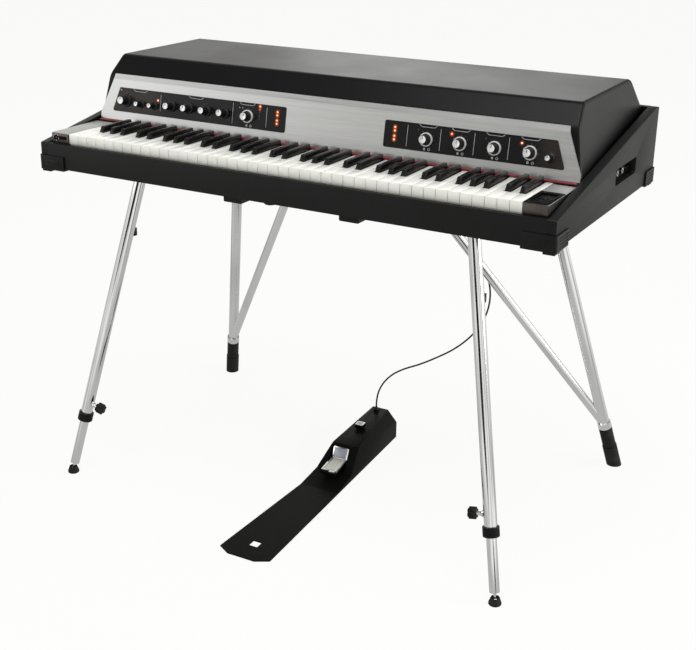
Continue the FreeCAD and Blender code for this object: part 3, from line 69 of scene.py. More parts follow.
# Camera, in the place that the edges of the case give; lens and its centre in pixels
EYE = spot(1199.16, -1848.24, 1304.91)
YAW, PITCH, ROLL = radians(28.86), radians(21), radians(-0.8)
FOCAL, CENTRE = 1186.64, (350.7, 322.28)
WIDE, HIGH = 696, 650


def set_up_camera():
    """The photograph's viewpoint."""
    look = Vector((-sin(YAW) * cos(PITCH), cos(YAW) * cos(PITCH), -sin(PITCH)))
    right = Vector((cos(YAW), sin(YAW), 0))
    down = look.cross(right)
    side = right * cos(ROLL) + down * sin(ROLL)
    low = right * -sin(ROLL) + down * cos(ROLL)
    data = bpy.data.cameras.new("Camera")
    data.sensor_width = 36
    data.lens = FOCAL * 36 / WIDE
    data.shift_x = -(CENTRE[0] - WIDE / 2) / WIDE
    data.shift_y = (CENTRE[1] - HIGH / 2) / WIDE
    data.clip_end = 60
    camera = placed("Camera", data)
    turn = Matrix((side, -low, -look)).transposed().to_4x4()
    camera.matrix_world = Matrix.Translation(EYE) @ turn
    bpy.context.scene.camera = camera


set_up_camera()


# Wiring of shader and geometry nodes
def written(operation, reflected=False):
    """A method of Wire that adds one Math node."""
    def method(self, *others):
        return self.math(operation, *((*others, self) if reflected else (self, *others)))
    return method


class Wire:
    """An output socket; sums written with it add Math nodes."""

    def __init__(self, graph, socket):
        self.graph = graph
        self.socket = socket

    def math(self, operation, *values):
        return self.graph.add("ShaderNodeMath", {"operation": operation}, values)

    __add__, __radd__ = written("ADD"), written("ADD", True)
    __sub__, __rsub__ = written("SUBTRACT"), written("SUBTRACT", True)
    __mul__, __rmul__ = written("MULTIPLY"), written("MULTIPLY", True)
    __truediv__, __pow__ = written("DIVIDE"), written("POWER")
    least, most, size = written("MINIMUM"), written("MAXIMUM"), written("ABSOLUTE")
    sine, cosine = written("SINE"), written("COSINE")

    def rise(self, low, high):
        """Smooth step from 0 at low to 1 at high."""
        return self.graph.add("ShaderNodeMapRange", {"interpolation_type": "SMOOTHSTEP"},
                              {"Value": self, "From Min": low, "From Max": high})


class Graph:
    """A node tree under construction."""

    def __init__(self, tree):
        self.tree = tree
        tree.nodes.clear()

    def add(self, kind, settings=None, values=(), out=0):
        """A node of that type: its settings first, then its sockets' values or links."""
        node = self.tree.nodes.new(kind)
        for key, value in (settings or {}).items():
            if key == "stops":
                self.set_stops(node.color_ramp, value)
            else:
                setattr(node, key, value)
        pairs = values.items() if isinstance(values, dict) else enumerate(values)
        for key, value in pairs:
            if isinstance(value, Wire):
                self.tree.links.new(value.socket, node.inputs[key])
            else:
                node.inputs[key].default_value = value
        return Wire(self, node.outputs[out]) if node.outputs else None

    def set_stops(self, ramp, stops):
        while len(ramp.elements) < len(stops):
            ramp.elements.new(0.5)
        for element, (place, colour) in zip(ramp.elements, stops):
            element.position = place
            element.color = colour

    def blend(self, factor, first, second):
        """Mix two colours."""
        return self.add("ShaderNodeMix", {"data_type": "RGBA"}, {0: factor, 6: first, 7: second}, 2)

    def position(self, stretch=(1, 1, 1)):
        """Object coordinates, stretched."""
        coords = self.add("ShaderNodeTexCoord", out="Object")
        if stretch == (1, 1, 1):
            return coords
        return self.add("ShaderNodeMapping", {}, {"Vector": coords, "Scale": stretch})

    def grain(self, scale, detail=2.0, stretch=(1, 1, 1), rough=0.5):
        """Noise value over the object, near 0.5."""
        return self.add("ShaderNodeTexNoise", {}, {"Vector": self.position(stretch), "Scale": scale,
                                                   "Detail": detail, "Roughness": rough})

    def axis(self, index):
        """One object coordinate."""
        return self.add("ShaderNodeSeparateXYZ", {}, (self.position(),), index)


def shade(red, green, blue):
    """A colour written as it looks on screen, 0 to 255."""
    return tuple((c / 255 / 12.92 if c <= 10 else ((c / 255 + 0.055) / 1.055) ** 2.4)
                 for c in (red, green, blue)) + (1,)


def scaled(colour, share):
    """A lighter or darker copy of a colour."""
    return tuple(min(c * share, 1) for c in colour[:3]) + (1,)


class Finish(Graph):
    """A material."""

    def __init__(self, name):
        self.material = bpy.data.materials.new(name)
        self.material.use_nodes = True
        super().__init__(self.material.node_tree)

    def bump(self, height, depth, strength=1.0):
        return self.add("ShaderNodeBump", {}, {"Height": height, "Distance": depth, "Strength": strength})

    def surface(self, colour, level=0.5, **values):
        """The Principled shader, with underscores for the spaces of its socket names."""
        sockets = {key.replace("_", " "): value for key, value in values.items()}
        sockets.update({"Base Color": colour, "Specular IOR Level": level})
        shader = self.add("ShaderNodeBsdfPrincipled", {}, sockets)
        self.add("ShaderNodeOutputMaterial", {}, {"Surface": shader})
        return self.material


def mottled(graph, colour, spread, scale=9.0, detail=4.0):
    """A colour that varies a little in lightness over the piece."""
    cloud = graph.grain(scale, detail).rise(0.3, 0.7)
    return graph.blend(cloud, scaled(colour, 1 - spread), scaled(colour, 1 + spread))


def moulded(name, colour, rough, scale=1400.0, level=0.35):
    """Moulded plastic: fine pebbled grain, slightly uneven gloss."""
    f = Finish(name)
    pebble = f.add("ShaderNodeTexVoronoi", {}, {"Vector": f.position(), "Scale": scale})
    uneven = f.grain(14, 5)
    return f.surface(mottled(f, colour, 0.18), Roughness=uneven * 0.16 + (rough - 0.08),
                     level=level, Normal=f.bump(pebble + f.grain(scale / 3), 0.00006))


def painted_boards():
    """Black paint over plywood: faint long ripples of the wood and a fine spray texture."""
    f = Finish("Black case paint")
    ripple = f.grain(26, 5, (0.35, 1.6, 2.4))
    spray = f.grain(950, 3)
    cloud = f.grain(5, 4)
    return f.surface(mottled(f, shade(10, 10, 11), 0.22, 11, 6),
                     Roughness=0.42 + cloud * 0.12 + (spray - 0.5) * 0.15, level=0.24,
                     Normal=f.bump(spray * 0.5 + ripple * 1.6, 0.00011))


def hood_plastic():
    """Vacuum-formed hood: soft leather-like grain under a satin skin."""
    f = Finish("Moulded hood")
    cell = f.add("ShaderNodeTexVoronoi", {"feature": "SMOOTH_F1"}, {"Vector": f.position(), "Scale": 900.0})
    wave = f.grain(7, 3)
    return f.surface(mottled(f, shade(9, 9, 10), 0.16, 6, 5),
                     Roughness=0.28 + wave * 0.12, level=0.15,
                     Normal=f.bump(cell + wave * 0.8, 0.00009))


def key_plastic():
    """Ivory-white key covers, glossy with the finest orange peel."""
    f = Finish("White key covers")
    peel = f.grain(160)
    warm = f.grain(20, 3)
    tone = f.blend(warm.rise(0.3, 0.7), shade(237, 237, 231), shade(245, 245, 240))
    return f.surface(tone, Roughness=0.2 + f.grain(55, 4) * 0.12,
                     Coat_Weight=0.25, Coat_Roughness=0.12, Normal=f.bump(peel, 0.00003))


def sharp_plastic():
    """Black keys: satin with fine lengthwise brushing and a worn, glossier back."""
    f = Finish("Black key covers")
    brush = f.grain(420, 2, (1, 0.06, 1))
    back = f.axis(1).rise(CASE_FRONT + 0.06, CASE_FRONT + 0.16)
    return f.surface(mottled(f, shade(9, 9, 8), 0.25, 60),
                     Roughness=0.28 - back * 0.06 + (brush - 0.5) * 0.2, level=0.3,
                     Normal=f.bump(brush, 0.00004))


def brushed_metal(name, colour, rough, stretch=(0.012, 1, 1), scale=900.0, depth=0.00006, metal=1.0):
    """Metal brushed along X: long hair lines in colour, gloss and bump."""
    f = Finish(name)
    fine = f.grain(scale, 3, stretch, 0.65)
    broad = f.grain(scale / 7, 3, stretch, 0.6)
    hair = (fine * 0.6 + broad * 0.4).rise(0.3, 0.72)
    return f.surface(f.blend(hair, scaled(colour, 0.8), colour), Metallic=metal,
                     Roughness=rough + hair * 0.12, Normal=f.bump(fine, depth, 0.6))


def chrome():
    """Chrome-plated tube: nearly a mirror, with faint smears and drawing lines."""
    f = Finish("Bright chrome")
    smear = f.grain(16, 5, (1, 1, 0.4)).rise(0.4, 0.75)
    drawn = f.grain(700, 2, (1, 1, 0.02))
    tone = f.blend(smear, shade(236, 236, 238), shade(222, 223, 226))
    return f.surface(tone, Metallic=1.0, Roughness=0.07 + smear * 0.07 + drawn * 0.03,
                     Normal=f.bump(drawn, 0.000012, 0.5))


def felt_cloth():
    """Red felt: short tangled fibres."""
    f = Finish("Red felt")
    fibre = f.grain(1300, 6, (1, 0.5, 1), 0.7)
    tuft = f.grain(240, 4)
    tone = f.blend(fibre.rise(0.32, 0.68), shade(72, 3, 16), shade(134, 10, 33))
    return f.surface(tone, Roughness=0.96, Sheen_Weight=0.35, Sheen_Roughness=0.5,
                     level=0.1, Normal=f.bump(fibre + tuft, 0.0004))


def key_wood():
    """Bare wood with rings stretched along the keys."""
    f = Finish("Bare key wood")
    bend = f.grain(6, 3, (1, 0.15, 1))
    ring = ((f.axis(0) * 260 + f.axis(2) * 180 + bend * 22).sine() * 0.5 + 0.5).rise(0.1, 0.9)
    pore = f.grain(900, 2, (1, 0.04, 1)).rise(0.55, 0.75)
    tone = f.blend(ring * 0.7 + pore * 0.3, shade(203, 172, 126), shade(160, 120, 76))
    return f.surface(tone, Roughness=0.62 + pore * 0.1,
                     Normal=f.bump(pore + ring * 0.3, 0.00008))


def circuit():
    """Green board with copper runs under the lacquer."""
    f = Finish("Control boards")
    x = (f.axis(0) * 900).sine().size()
    z = (f.axis(2) * 1100).sine().size()
    run = x.least(z).rise(0.12, 0.05)
    tone = f.blend(run, mottled(f, shade(20, 84, 52), 0.2, 40), shade(74, 134, 70))
    return f.surface(tone, Roughness=0.35 + f.grain(60) * 0.1, Normal=f.bump(run, 0.00005))


def rubber():
    """Dull rubber with a dusty bloom."""
    f = Finish("Black rubber")
    dust = f.grain(30, 6).rise(0.45, 0.8)
    tone = f.blend(dust * 0.35, shade(18, 18, 18), shade(62, 62, 62))
    return f.surface(tone, Roughness=0.72 + dust * 0.12, level=0.3,
                     Normal=f.bump(f.grain(700, 3), 0.00008))


def powder_coat(name, colour, rough=0.42, level=0.35):
    """Powder-coated sheet steel: orange peel and a soft sheen."""
    f = Finish(name)
    peel = f.grain(420)
    scuff = f.grain(12, 8, (1, 0.3, 1), 0.7).rise(0.6, 0.85)
    return f.surface(f.blend(scuff * 0.3, colour, shade(58, 58, 56)),
                     Roughness=rough + scuff * 0.15 + (peel - 0.5) * 0.12, level=level,
                     Normal=f.bump(peel, 0.00012))


def cheek_paint():
    """Silver paint of the cheek blocks."""
    f = Finish("Cheek block silver")
    flake = f.grain(1600).rise(0.4, 0.7)
    streak = f.grain(300, 2, (1, 0.03, 1))
    tone = f.blend(flake * 0.5 + streak * 0.4, shade(172, 172, 170), shade(206, 206, 202))
    return f.surface(tone, Metallic=0.7, Roughness=0.36 + flake * 0.08,
                     Normal=f.bump(streak, 0.00004))


# Indicator lamps on the fascias: x, height along the panel, colour; None is an unlit one
LAMPS = (
    (-397.8, 53.3, "amber"), (-137.8, 67, "orange"), (-137.8, 60.5, "dim"), (-137.8, 54, None),
    (-137.8, 47.5, None), (-137.8, 41, None),
    (-95, 60, "orange"), (-95, 53.4, "orange"), (-95, 43.2, "orange"), (-95, 36.5, "orange"),
    (173.2, 60, "orange"), (173.2, 53, "orange"), (173.2, 43, "orange"), (173.2, 36, "orange"),
    (223.3, 60.2, None), (293.1, 60, "red"), (362.6, 59.5, None), (433.9, 59.4, "amber"),
)
PANEL_LEAN = radians(10.1)
PANEL = Matrix.Translation(spot(0, 171.2, 778.4)) @ Matrix((
    (1, 0, 0, 0),
    (0, sin(PANEL_LEAN), -cos(PANEL_LEAN), 0),
    (0, cos(PANEL_LEAN), sin(PANEL_LEAN), 0),
    (0, 0, 0, 1)))
FACE = 1.2  # thickness of a fascia
PAINTED_LIGHT_REACH = 6.8 * MM  # how far the painted lamp light reaches on the fascia


def on_panel(x, s, n=FACE):
    """Placing of a piece on the control panel: x, height along the slope, outwards."""
    return PANEL @ moved(x, s, n)


def fascia_lacquer():
    """Glossy black fascia: fine dust, a painted warm reflection towards both ends, and painted lamp light
    round its lit lamps, emitted by the fascia itself.
    """
    f = Finish("Fascia lacquer")
    x = f.axis(0)
    height = f.axis(2)
    # Painted reflection: the base colour turns warm brown towards both ends, standing in for a warm room
    # mirrored there.
    ends = (0 - x).rise(0.375, 0.42).most(x.rise(0.452, 0.49))
    tone = f.blend(ends * 0.75, shade(9, 9, 12), shade(48, 40, 35))
    # Painted lamp light: the fascia itself emits orange light round each lit lamp, fading with distance.
    painted_glow = 0.0
    for px, s, kind in LAMPS:
        if kind is None:
            continue
        place = on_panel(px, s).translation
        across = (x - place.x) / PAINTED_LIGHT_REACH
        up = (height - place.z) / PAINTED_LIGHT_REACH
        painted_falloff = 1 - (across * across + up * up).least(1)
        painted_glow = painted_falloff ** 3.0 * {"amber": 0.55, "dim": 0.2}.get(kind, 1) + painted_glow
    painted_light_colour = f.blend(painted_glow.least(1), (0, 0, 0, 1), (0.75, 0.09, 0.01, 1))
    speck = f.grain(500, 3)
    return f.surface(tone, Roughness=0.24 + f.grain(18, 5) * 0.12, level=0.22,
                     Emission_Color=painted_light_colour, Emission_Strength=1.0, Normal=f.bump(speck, 0.00002, 0.4))


def lamp_glass(name, deep, core, strength=1.0):
    """A lit lamp: a pale core in a coloured dome."""
    f = Finish(name)
    facing = f.add("ShaderNodeLayerWeight", {}, {"Blend": 0.35}, "Facing")
    mix = f.blend(facing.rise(0.1, 0.75), core, deep)
    speck = f.grain(2500, 1)
    return f.surface(deep, Roughness=0.2 + speck * 0.1, Emission_Color=mix,
                     Emission_Strength=strength)


def print_white():
    """Screen-printed line work, slightly thin in places."""
    f = Finish("Printed lines")
    thin = f.grain(1500, 3).rise(0.3, 0.6)
    return f.surface(f.blend(thin, shade(120, 121, 124), shade(208, 209, 212)),
                     Roughness=0.5 + thin * 0.1)


def dull_black(name, patches, rough, wear, marks):
    """Black rubber of the knobs or the cable: worn gloss and fine moulding marks."""
    f = Finish(name)
    scale, detail, share = wear
    return f.surface(mottled(f, shade(17, 17, 18), *patches), level=0.4,
                     Roughness=f.grain(scale, detail) * share + rough, Normal=f.bump(f.grain(marks), 0.00004))


def cap_metal():
    """Pale spun caps and rings of the knobs."""
    f = Finish("Knob caps")
    spin = f.grain(1100, 2, (1, 0.3, 0.3))
    tone = f.blend(spin.rise(0.3, 0.7), shade(214, 214, 216), shade(240, 240, 240))
    return f.surface(tone, Metallic=0.45, Roughness=0.26 + spin * 0.14,
                     Normal=f.bump(spin, 0.00003))


FINISHES = {
    "case_boards": painted_boards(),
    "hood_plastic": hood_plastic(),
    "white_key": key_plastic(),
    "black_key": sharp_plastic(),
    "brushed_aluminium": brushed_metal("Brushed panel", shade(205, 205, 205), 0.32),
    "fascia_black": fascia_lacquer(),
    "knob_black": dull_black("Knob black", (0.25, 120), 0.34, (1300, 2, 0.14), 1300),
    "cheek_silver": cheek_paint(),
    "red_felt": felt_cloth(),
    "chrome": chrome(),
    "black_plastic": moulded("Black moulded plastic", shade(10, 10, 11), 0.46, level=0.22),
    "black_rubber": rubber(),
    "black_metal": powder_coat("Black steel", shade(11, 11, 12), level=0.22),
    "pedal_black": powder_coat("Pedal coat", shade(9, 9, 8), 0.5, 0.06),
    "cable_rubber": dull_black("Cable jacket", (0.3, 40), 0.42, (50, 5, 0.2), 900),
    "inner_wood": key_wood(),
    "hammer_plastic": moulded("Hammer plastic", shade(214, 204, 182), 0.4, 900),
    "harp_aluminium": brushed_metal("Harp metal", shade(190, 192, 196), 0.35, (0.03, 1, 1), 500),
    "tone_steel": brushed_metal("Tone bar steel", shade(168, 168, 172), 0.3, (1, 0.02, 1), 700),
    "circuit_board": circuit(),
}
PRINT = print_white()
CAPS = cap_metal()
RIBBED = brushed_metal("Ribbed tread plate", shade(236, 235, 226), 0.4, (1, 0.05, 1), 800, 0.00006, 0.3)
GREY_FACE = brushed_metal("Upper plate face", shade(168, 171, 181), 0.36, (1, 0.05, 1), 800)
CHEEK_FRONT = brushed_metal("Cheek front plate", shade(98, 90, 85), 0.34, (0.03, 1, 1), 900, 0.00004, 0.7)
GLOSS_INSERT = powder_coat("Gloss insert", shade(6, 6, 6), 0.26, 0.05)
LIT = {
    "orange": lamp_glass("Orange lamp", (1, 0.22, 0.03, 1), (1, 0.66, 0.34, 1)),
    "red": lamp_glass("Red lamp", (1, 0.12, 0.05, 1), (1, 0.5, 0.38, 1)),
    "amber": lamp_glass("Amber lamp", (1, 0.3, 0.12, 1), (1, 0.8, 0.6, 1)),
    "dim": lamp_glass("Dim lamp", (0.42, 0.07, 0.02, 1), (0.6, 0.16, 0.06, 1), 0.6),
}
UNLIT = moulded("Unlit lamp", shade(74, 70, 70), 0.3, 2000)

for node in NODES.values():
    node.material_slots[0].material = FINISHES[node.data.materials[0].name.split(".")[0]]


# Mesh building
SHARP = radians(32)


def round_edges(bm, edges, width, steps=2):
    """Bevel edges; flat faces next to them stay flat in the shading."""
    plain = bm.faces.layers.int["plain"]
    made = bmesh.ops.bevel(bm, geom=edges, offset=width * MM, segments=steps, profile=0.5, affect="EDGES",
                           clamp_overlap=True, material=-1)
    bends = {face for face in made["faces"] if face.is_valid}
    for face in bends:
        face[plain] = 0
    for face in {f for bend in bends for e in bend.edges for f in e.link_faces} - bends:
        beside = [f for e in face.edges for f in e.link_faces if f is not face and f not in bends]
        face[plain] = all(face.normal.angle(f.normal, 0) < 0.01 for f in beside)


def piece(name, bm, materials, body="case", smooth=SHARP):
    """Turn a bmesh into a finished piece that rides on a body."""
    bmesh.ops.recalc_face_normals(bm, faces=bm.faces)
    plain = bm.faces.layers.int.get("plain")
    for face in bm.faces:
        face.smooth = not (plain and face[plain])
    mesh = bpy.data.meshes.new(name)
    bm.to_mesh(mesh)
    bm.free()
    return mesh_piece(name, mesh, materials, body, smooth)


def mesh_piece(name, mesh, materials, body="case", smooth=SHARP):
    """Smooth a mesh's round faces and let it ride; its materials are finishes by name or others."""
    while len(mesh.materials) < len(materials):
        mesh.materials.append(None)
    for index, material in enumerate(materials):
        mesh.materials[index] = FINISHES.get(material, material)
    mesh.set_sharp_from_angle(angle=smooth)
    made = placed(name, mesh)
    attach(made, body)
    return made


def lathe(bm, profile, place, steps=32, paint=0):
    """Turn (radius, height) millimetre pairs about the placing's Z axis."""
    rings = []
    for radius, height in profile:
        turns = [2 * pi * i / steps for i in range(steps)] if radius else [0]
        rings.append([bm.verts.new(place @ Vector((radius * MM * cos(a), radius * MM * sin(a), height * MM)))
                      for a in turns])
    for low, high in zip(rings, rings[1:]):
        for i in range(steps):
            j = (i + 1) % steps
            corners = [low[i % len(low)], low[j % len(low)], high[j % len(high)], high[i % len(high)]]
            corners = list(dict.fromkeys(corners))
            if len(corners) > 2:
                bm.faces.new(corners).material_index = paint


def slab(bm, outline, low, high, place, paint=0, round_off=0.0, steps=2):
    """Extrude an (x, y) millimetre outline between two heights, edges rounded off."""
    if not bm.faces.layers.int.get("plain"):
        bm.faces.layers.int.new("plain")
    bottom = [bm.verts.new(place @ Vector((x * MM, y * MM, low * MM))) for x, y in outline]
    top = [bm.verts.new(place @ Vector((x * MM, y * MM, high * MM))) for x, y in outline]
    faces = [bm.faces.new(bottom[::-1]), bm.faces.new(top)]
    count = len(outline)
    for i in range(count):
        j = (i + 1) % count
        faces.append(bm.faces.new((bottom[i], bottom[j], top[j], top[i])))
    for face in faces:
        face.material_index = paint
    if round_off:
        bm.normal_update()
        round_edges(bm, list(dict.fromkeys(edge for face in faces for edge in face.edges)), round_off, steps)


def border(bm, outer, inner, low, high, place):
    """A flat frame between two outlines with the same number of points."""
    rings = [[bm.verts.new(place @ Vector((x * MM, y * MM, z * MM))) for x, y in line]
             for line, z in ((outer, low), (outer, high), (inner, high), (inner, low))]
    count = len(outer)
    for a, b in zip(rings, rings[1:] + rings[:1]):
        for i in range(count):
            bm.faces.new((a[i], a[(i + 1) % count], b[(i + 1) % count], b[i]))


def rounded(width, height, radius, centre=(0, 0), steps=4):
    """A rounded rectangle as a list of (x, y) pairs."""
    points = []
    for quarter, (sx, sy) in enumerate(((1, 1), (-1, 1), (-1, -1), (1, -1))):
        for i in range(steps + 1):
            angle = pi / 2 * (quarter + i / steps)
            points.append((centre[0] + sx * (width / 2 - radius) + radius * cos(angle),
                           centre[1] + sy * (height / 2 - radius) + radius * sin(angle)))
    return points


PRINT_HIGH = 0.12


def stroke(bm, points, width, place):
    """A thin printed line through (x, y) points in millimetres."""
    for (xa, ya), (xb, yb) in zip(points, points[1:]):
        length = hypot(xb - xa, yb - ya)
        nx, ny = -(yb - ya) / length * width / 2, (xb - xa) / length * width / 2
        slab(bm, [(xa + nx, ya + ny), (xa - nx, ya - ny), (xb - nx, yb - ny), (xb + nx, yb + ny)],
             0, PRINT_HIGH, place)


def merged(node):
    """A copy of a CAD node with its loose triangles joined and its flats made whole."""
    source = NODES[node].data
    bm = bmesh.new()
    bm.faces.layers.int.new("plain")
    corners = {}
    for face in source.polygons:
        loop = []
        for index in face.vertices:
            place = source.vertices[index].co
            key = tuple(round(c, 6) for c in place)
            if key not in corners:
                corners[key] = bm.verts.new(place)
            loop.append(corners[key])
        if len(set(loop)) == 3 and bm.faces.get(loop) is None:
            bm.faces.new(loop)
    bmesh.ops.remove_doubles(bm, verts=bm.verts, dist=0.000004)
    bmesh.ops.dissolve_limit(bm, angle_limit=radians(0.6), verts=bm.verts, edges=bm.edges)
    return bm


def soften(bm, width, wanted=None, steps=2, least=30):
    """Round off the sharp edges of a merged copy."""
    edges = [edge for edge in bm.edges if len(edge.link_faces) == 2
             and edge.calc_face_angle(0) > radians(least) and (wanted is None or wanted(edge))]
    round_edges(bm, edges, width, steps)


def softened(node, width, body="case", wanted=None, steps=2, least=30):
    """A CAD node again with rounded edges, in its place."""
    bm = merged(node)
    soften(bm, width, wanted, steps, least)
    made = piece("soft_" + node, bm, [NODES[node].material_slots[0].material], body)
    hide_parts(node)


def islands(bm):
    """The separate solids of a bmesh, as lists of vertices."""
    left = set(bm.verts)
    found = []
    while left:
        group = []
        queue = [left.pop()]
        while queue:
            vertex = queue.pop()
            group.append(vertex)
            for edge in vertex.link_edges:
                other = edge.other_vert(vertex)
                if other in left:
                    left.remove(other)
                    queue.append(other)
        found.append(group)
    return found


# Geometry node patterns
class Pattern(Graph):
    """A tree that repeats a shape; it ends in Realize Instances and Set Material."""

    def __init__(self, name):
        super().__init__(bpy.data.node_groups.new(name, "GeometryNodeTree"))
        self.tree.interface.new_socket("Geometry", in_out="OUTPUT", socket_type="NodeSocketGeometry")
        self.entry = self.tree.nodes.new("NodeGroupInput")
        self.names = {}

    def size(self, name, kind="Float"):
        """A named input."""
        socket = self.tree.interface.new_socket(name, in_out="INPUT", socket_type="NodeSocket" + kind)
        self.names[name] = socket.identifier
        return Wire(self, self.entry.outputs[name])

    def close(self, points, shape, turn):
        """Set the shape on every point, realise the copies and give them the material."""
        copies = self.add("GeometryNodeInstanceOnPoints", {},
                          {"Points": points, "Instance": shape, "Rotation": turn})
        finish = self.size("Material", "Material")
        real = self.add("GeometryNodeRealizeInstances", {}, (copies,))
        painted = self.add("GeometryNodeSetMaterial", {}, {"Geometry": real, "Material": finish})
        self.add("NodeGroupOutput", {}, (painted,))

    def mesh(self, name, material, **sizes):
        """A plain mesh of the pattern at those sizes."""
        holder = placed(name, bpy.data.meshes.new(name))
        modifier = holder.modifiers.new(name, "NODES")
        modifier.node_group = self.tree
        modifier[self.names["Material"]] = material
        for key, value in sizes.items():
            modifier[self.names[key.replace("_", " ")]] = value
        graph = bpy.context.evaluated_depsgraph_get()
        made = bpy.data.meshes.new_from_object(holder.evaluated_get(graph))
        holder.modifiers.clear()
        bpy.data.objects.remove(holder)
        return made


def ring_pattern():
    """Bars set round an axis, at equal steps, leaning in with height."""
    p = Pattern("Bars round an axis")
    count, radius = p.size("Count", "Int"), p.size("Radius")
    start, step = p.size("Start"), p.size("Step")
    bar, lift, lean = p.size("Bar", "Vector"), p.size("Lift"), p.size("Lean")
    angle = start + p.add("GeometryNodeInputIndex") * step
    place = p.add("ShaderNodeCombineXYZ", {}, (radius * angle.cosine(), radius * angle.sine(), lift))
    points = p.add("GeometryNodePoints", {}, {"Count": count, "Position": place})
    cube = p.add("GeometryNodeMeshCube", {}, {"Size": bar})
    turn = p.add("ShaderNodeCombineXYZ", {}, (0, lean, angle))
    p.close(points, cube, turn)
    return p


def row_pattern():
    """Round bars side by side."""
    p = Pattern("Bars in a row")
    count, pitch = p.size("Count", "Int"), p.size("Pitch")
    length, thick = p.size("Length"), p.size("Thick")
    place = p.add("ShaderNodeCombineXYZ", {}, (p.add("GeometryNodeInputIndex") * pitch, 0, 0))
    points = p.add("GeometryNodePoints", {}, {"Count": count, "Position": place})
    rib = p.add("GeometryNodeMeshCylinder", {"fill_type": "NGON"},
                {"Vertices": 8, "Radius": thick, "Depth": length})
    turn = p.add("ShaderNodeCombineXYZ", {}, (pi / 2, 0, 0))
    p.close(points, rib, turn)
    return p


def screw_pattern():
    """A screw head at every point of a mesh."""
    p = Pattern("Screws")
    where, head = p.size("Places", "Object"), p.size("Head", "Object")
    turn = p.size("Turn", "Vector")
    places, shape = [p.add("GeometryNodeObjectInfo", {"transform_space": "RELATIVE"}, {"Object": thing},
                           "Geometry") for thing in (where, head)]
    p.close(places, shape, turn)
    return p


RING = ring_pattern()
ROW = row_pattern()
SCREWS = screw_pattern()


def joined(bm, mesh, place, paint=0):
    """Put a mesh into a bmesh at a placing."""
    mesh.transform(place)
    before = len(bm.faces)
    bm.from_mesh(mesh)
    bm.faces.ensure_lookup_table()
    for face in bm.faces[before:]:
        face.material_index = paint
    bpy.data.meshes.remove(mesh)


# Pedal cable, from the gland on the pedal up to the gland under the case
CABLE = ((-10.423, 481.678, 78), (-10.423, 481.678, 104), (0, 485, 137), (23, 487.6, 167),
         (55, 490, 189.5), (96, 492, 209), (137, 494, 234), (177, 496, 261), (213, 498, 294),
         (243, 499, 334), (261, 499, 380), (263, 498, 428), (247, 496, 474), (226, 493, 520),
         (204, 489, 566), (187, 485, 612), (179, 481, 655), (179, 481, 689))


def pedal_cable():
    """The free cable between pedal and case."""
    curve = bpy.data.curves.new("pedal_cable_jacket", "CURVE")
    curve.dimensions = "3D"
    curve.bevel_depth = 0.002
    curve.bevel_resolution = 5
    curve.resolution_u = 12
    curve.use_fill_caps = True
    line = curve.splines.new("NURBS")
    line.points.add(len(CABLE) - 1)
    for point, place in zip(line.points, CABLE):
        point.co = (*spot(*place), 1)
    line.order_u = 3
    line.use_endpoint_u = True
    curve.materials.append(FINISHES["cable_rubber"])
    made = placed("pedal_cable_jacket", curve)
    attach(made, "case")
    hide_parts("pedal_cable")


pedal_cable()


# Keys
NOTES = "c c_sharp d d_sharp e f f_sharp g g_sharp a a_sharp b".split()


def key_pieces():
    """Covers with rounded edges over bare wooden levers, one piece for each note."""
    for note in NOTES:
        node = "keys_" + note
        sharp = note.endswith("sharp")
        bm = merged(node)
        cover = {v for group in islands(bm) if max(v.co.z for v in group) > KEY_TOP - 0.3 * MM
                 for v in group}
        for face in bm.faces:
            face.material_index = 0 if face.verts[0] in cover else 1
        soften(bm, 1.0 if sharp else 0.35, lambda edge: edge.verts[0] in cover, 3 if sharp else 2, 25)
        kind = "black_key" if sharp else "white_key"
        made = piece("key_covers_" + note, bm, [kind, "inner_wood"], node)
        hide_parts(node)


key_pieces()


# Case
def off_seams(edge):
    """True for edges of the side boards that don't meet the front, rear or bottom board."""
    return any(abs(abs(v.co.x) - CASE_INNER) >= 0.0002 for v in edge.verts)


def case_pieces():
    """Side boards, front rail and corner protectors with softened edges."""
    softened("left_side_panel", 0.9, wanted=off_seams)
    softened("right_side_panel", 0.9, wanted=off_seams)
    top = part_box("front_rail")[1].z
    softened("front_rail", 0.9, wanted=lambda e: min(v.co.z for v in e.verts) > top - 0.0001
             and abs(e.verts[0].co.x - e.verts[1].co.x) > 0.1)
    softened("corner_protectors", 0.8)


case_pieces()


def protector_details():
    """Raised pads and recessed screws on the faces of the corner protectors."""
    bm = bmesh.new()
    low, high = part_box("corner_protectors")
    level = (low.z + high.z) / 2 / MM + 2.5
    for side in (-1, 1):
        for y, lean in ((low.y, 90), (high.y, -90)):
            facing = Matrix.Rotation(radians(lean), 4, "X")
            centre = Vector((side * (CASE_END - 30 * MM), y, level * MM))
            place = Matrix.Translation(centre) @ facing
            slab(bm, rounded(36, 15, 2.5), -0.6, 0.4, place, 0, 0.25)
            for shift in (-10, 0, 10):
                lathe(bm, ((0, 0), (2.8, 0), (2.8, 0.5), (2.5, 0.8), (1.6, 0.75), (1.4, 0.5), (0, 0.5)),
                      place @ moved(shift), 14)
    piece("protector_pads", bm, ["black_plastic"])


# Knobs: node, x, height along the panel, kind, turn of the pointer
KNOBS = (
    ("knob_volume", -482.5, 45, "large", 0.05), ("knob_low", -442, 41.2, "small", 0.1),
    ("knob_high", -406.8, 41.2, "small", -0.15), ("knob_band_1", -361.5, 44.8, "medium", 0),
    ("knob_band_2", -315.7, 44.8, "medium", 0.1), ("knob_band_3", -269.9, 44.8, "medium", -0.1),
    ("knob_band_4", -224.1, 44.8, "medium", 0.05), ("knob_drive", -165.8, 44, "ringed", 0.5),
    ("knob_effect_1", 242, 43.5, "ringed", 0), ("knob_effect_2", 312, 43.5, "ringed", 0.25),
    ("knob_effect_3", 382, 43.5, "ringed", 0.1), ("knob_effect_4", 452, 43.5, "ringed", 0),
    ("knob_feedback", 492.3, 39, "small", 0.1),
)
